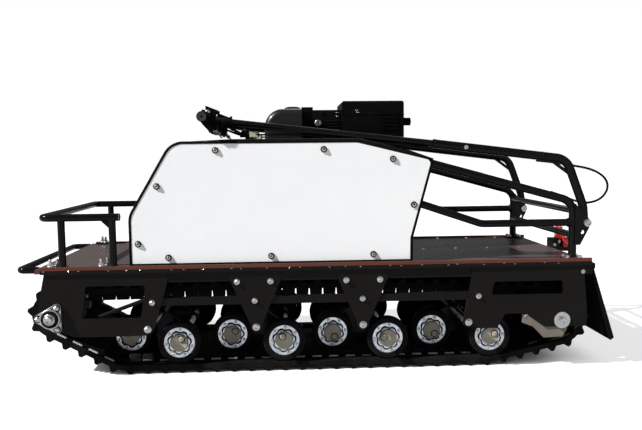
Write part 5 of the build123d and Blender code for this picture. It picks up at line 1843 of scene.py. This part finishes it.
@dataclass
class RearPieces:
    """The flap's clamp strips, and the coupling's bolts, cheek, stay and knob."""

    flap_x: float = -825.0  # Rear face of the flap where it hangs
    strip_ys: Sizes = (27.0, 283.0)  # Inner and outer end of the left clamp strip
    strip_z: Sizes = (301.0, 317.0)  # Low and high edge of the clamp strips
    strip_thick: float = 4.0  # How far they stand out
    strip_sink: float = 0.3  # How far they reach into the flap
    bolt_lift: float = 0.6  # From the strips to their bolts
    flap_bolt: FlangeBolt = FlangeBolt(6.2, 8.4, 7.0)  # The strips' bolts
    flap_bolt_ys: Sequence[float] = (-260, -160, -60, 60, 160, 260)  # Their places across the machine
    coupling_half: float = 25.0  # Half the coupling's width
    coupling_bolt: FlangeBolt = FlangeBolt(4.0, 5.6, 4.5)  # The coupling's bolts
    coupling_bolts: Spots = ((-803, 340), (-818, 352))  # Their (x, z)
    cheek: Corners = ((-853.0, 30.5, 333.0), (-827.0, 34.5, 376.0))  # Corners of the latch's cheek
    # A point on its slant, and the way that the slant looks
    cheek_cut: Corners = ((-853.0, 30.0, 350.0), (-0.75, 0.0, 0.66))
    stay: Sizes = (4.2, 14.0)  # (radius, length) of the latch's stay
    stay_place: Point = (-832.0, 31.5, 366.0)  # Its middle
    knob: Sizes = (6.2, 34.0)  # (radius, length) of the latch's knob
    knob_place: Point = (-826.5, 0.0, 396.0)  # Its middle

    def flap(self) -> None:
        """The clamp strips of the flap and their bolts."""
        (near, far), (low, high) = self.strip_ys, self.strip_z
        for name, right, left in (("flap_strip_left", near, far), ("flap_strip_right", -far, -near)):
            strip = Bench.box(name, (self.flap_x - self.strip_thick, right, low),
                              (self.flap_x + self.strip_sink, left, high))
            Bench.shape(strip, LOOKS_REAR, Inset(3.0, 0.8))
            fit(Bench.soften(strip, 0.8), Finishes.BLACK_PAINT)
        seat_x = self.flap_x - self.strip_thick - self.bolt_lift
        spots = [at(seat_x, y, (low + high) / 2) @ FACE_REAR for y in self.flap_bolt_ys]
        put(self.flap_bolt.model("flap_bolt"), spots, "flap_bolts", Finishes.ZINC)

    def coupling(self) -> None:
        """The coupling's bolts and the latch's cheek, stay and knob."""
        self.coupling_bolt.row("coupling_bolts", self.coupling_bolts, self.coupling_half)
        cheek = Bench.cut(Bench.box("latch_cheek", *self.cheek), *self.cheek_cut)
        Bench.shape(cheek, LOOKS_LEFT, Inset(3.0, 1.0))
        fit(Bench.soften(cheek, 1.0), Finishes.RED)
        stay = Bench.rod("latch_stay", *self.stay, self.stay_place, sides=20)
        Bench.shape(stay, LOOKS_LEFT, Inset(1.2, 1.0))
        fit(Bench.smooth(stay, 40), Finishes.RED)
        knob = Bench.rod("latch_knob", *self.knob, self.knob_place)
        Bench.shape(knob, both_ends, Inset(1.4, 1.6))
        fit(Bench.smooth(Bench.soften(knob, 1.2), 50), Finishes.RED)

    def build(self) -> None:
        """Makes the pieces at the rear."""
        self.flap()
        self.coupling()


# Light and camera, in metres


@dataclass
class Studio:
    """Floor, lamps and the camera at the photograph's place."""

    place: Point = (0.099957, 2.34396, 0.65372)  # Camera position
    yaw: float = 0.0491  # Turn towards the rear, in radians
    pitch: float = 0.0861  # Tilt downwards
    roll: float = -0.0107  # Turn about the view
    focal: float = 704.14  # Focal length in pixels of the frame
    frame_width: float = 642.0  # Width of the frame in pixels
    sensor: float = 36.0  # Width of the sensor in millimetres
    near: float = 0.05  # What is nearer to the camera isn't seen
    floor_side: float = 40.0  # Side of the floor
    floor_grey: Colour = (0.42, 0.42, 0.42)  # What lamps and other pieces see of the floor
    floor_white: Colour = (0.86, 0.86, 0.86)  # What the camera sees of it
    floor_glow: float = 1.16  # Strength of the floor's own light, which only the camera sees
    glow_share: float = 0.60  # Its share on open floor
    painted_contact_shade_reach: float = 0.14  # Painted contact shade: how far round the pieces an ambient occlusion node darkens the floor's glow
    sky: float = 0.17  # Strength of the sky's light
    sky_colour: Colour = (0.92, 0.95, 1.0)  # Colour of the sky's light
    sun_from: Point = (0.719, 0.259, 0.644)  # Direction to the key light
    sun: Sizes = (7.2, 1.5)  # Watts for each square metre of the key light, and its width in degrees
    # Rows of (name, place, aim, watts) of the area lamps
    lamps: Rows = (
        ("fill", (-2.6, 2.6, 1.6), (0, 0, 0.35), 7.0), ("back", (-0.6, -3.0, 2.8), (0, 0, 0.5), 25.0))
    lamp_side: float = 2.0  # Side of an area lamp

    @staticmethod
    def swing(first: Vector, second: Vector, angle: float) -> Tuple[Vector, Vector]:
        """Returns two directions turned by an angle in their plane."""
        return (first * math.cos(angle) - second * math.sin(angle),
                first * math.sin(angle) + second * math.cos(angle))

    def camera(self) -> None:
        """Adds the camera."""
        right, ahead, down = Vector((-1, 0, 0)), Vector((0, -1, 0)), Vector((0, 0, -1))
        right, ahead = self.swing(right, ahead, self.yaw)
        down, ahead = self.swing(down, ahead, self.pitch)
        right, down = self.swing(right, down, self.roll)
        lens = bpy.data.cameras.new("camera")
        lens.sensor_fit = "HORIZONTAL"
        lens.sensor_width = self.sensor
        lens.lens = self.focal * self.sensor / self.frame_width
        lens.clip_start = self.near
        eye = bpy.data.objects.new("camera", lens)
        turn = Matrix((right, -down, -ahead)).transposed().to_4x4()
        eye.matrix_world = Matrix.Translation(self.place) @ turn
        bpy.context.scene.collection.objects.link(eye)
        bpy.context.scene.camera = eye

    def floor(self) -> None:
        """Adds a white floor that keeps the shadow, and paints contact shade round the pieces."""
        Bench.clear()
        bpy.ops.mesh.primitive_plane_add(size=self.floor_side, location=(0, 0, 0))
        ground = bpy.context.object
        ground.name = "floor"
        white = bpy.data.materials.new("white_floor")
        white.use_nodes = True
        white.node_tree.nodes.clear()
        tree = Tree(white.node_tree)
        seen = tree.add("ShaderNodeLightPath").outputs["Is Camera Ray"]
        tone = tree.mix(seen, self.floor_grey, self.floor_white)
        paint = tree.add("ShaderNodeBsdfPrincipled", Base_Color=tone, Roughness=0.9)
        glow = tree.add("ShaderNodeEmission", Strength=self.floor_glow)
        # Painted contact shade: near the pieces, ambient occlusion cuts down the glow that the camera sees
        near = tree.add("ShaderNodeAmbientOcclusion", samples=8, Distance=self.painted_contact_shade_reach)
        clear = tree.span(near.outputs["AO"], From_Min=0.10, From_Max=0.75, To_Max=self.glow_share)
        self.blend(tree, tree.sum(seen, clear, "MULTIPLY"), (paint, glow), "ShaderNodeOutputMaterial")
        ground.data.materials.append(white)

    @staticmethod
    def blend(tree: Tree, share: Socket, shaders: Sequence[bpy.types.Node], out: str) -> None:
        """Mixes two shaders into an output.

        Args:
            tree: The nodes that they are in.
            share: Socket of the second shader's share.
            shaders: The two shaders.
            out: Blender's name of the output's type.
        """
        mixed = tree.add("ShaderNodeMixShader")
        tree.link(share, mixed.inputs[0])
        for number, shader in enumerate(shaders):
            tree.link(shader.outputs[0], mixed.inputs[number + 1])
        tree.add(out, Surface=mixed.outputs[0])

    def hang(self, name: str, kind: str, watts: float, turn: Vector) -> bpy.types.Object:
        """Adds a light.

        Args:
            name: Name of the light.
            kind: Blender's name of its type.
            watts: Its strength.
            turn: The direction back from what it shines on.

        Returns:
            The light's object, at the origin.
        """
        light = bpy.data.lights.new(name, kind)
        light.energy = watts
        lamp = bpy.data.objects.new(name, light)
        lamp.rotation_euler = turn.to_track_quat("Z", "Y").to_euler()
        bpy.context.scene.collection.objects.link(lamp)
        return lamp

    def light(self) -> None:
        """Adds the sky, the key light and the lamps."""
        world = bpy.data.worlds.new("studio")
        world.use_nodes = True
        world.node_tree.nodes.clear()
        tree = Tree(world.node_tree)
        sky = tree.add("ShaderNodeBackground", Strength=self.sky, Color=(*self.sky_colour, 1))
        white = tree.add("ShaderNodeBackground", Strength=1.0, Color=(1, 1, 1, 1))
        seen = tree.add("ShaderNodeLightPath").outputs["Is Camera Ray"]
        self.blend(tree, seen, (sky, white), "ShaderNodeOutputWorld")
        bpy.context.scene.world = world
        power, width = self.sun
        key = self.hang("key", "SUN", power, Vector(self.sun_from))
        key.data.angle = math.radians(width)
        for name, place, aim, watts in self.lamps:
            lamp = self.hang(name, "AREA", watts, Vector(place) - Vector(aim))
            lamp.location = place
            lamp.data.size = self.lamp_side

    def build(self) -> None:
        """Sets up the whole studio."""
        self.camera()
        self.floor()
        self.light()
        bpy.context.scene.view_settings.view_transform = "Standard"


def main() -> None:
    """Builds every sub-assembly in order."""
    logging.basicConfig(level=logging.INFO, format="%(name)s %(message)s")
    dress_nodes()
    for assembly in (RoadRollers(), DriveBelt(), DriveBearings(), TrackTension(), SidePlates(), DeckTrim(),
                     FrontRack(), HoodPanels(), EngineTop(), RearFrame(), Tiller(), RearPieces()):
        assembly.build()
        LOG.info("built %s", type(assembly).__name__)
    Studio().build()


if __name__ == "__main__":
    main()
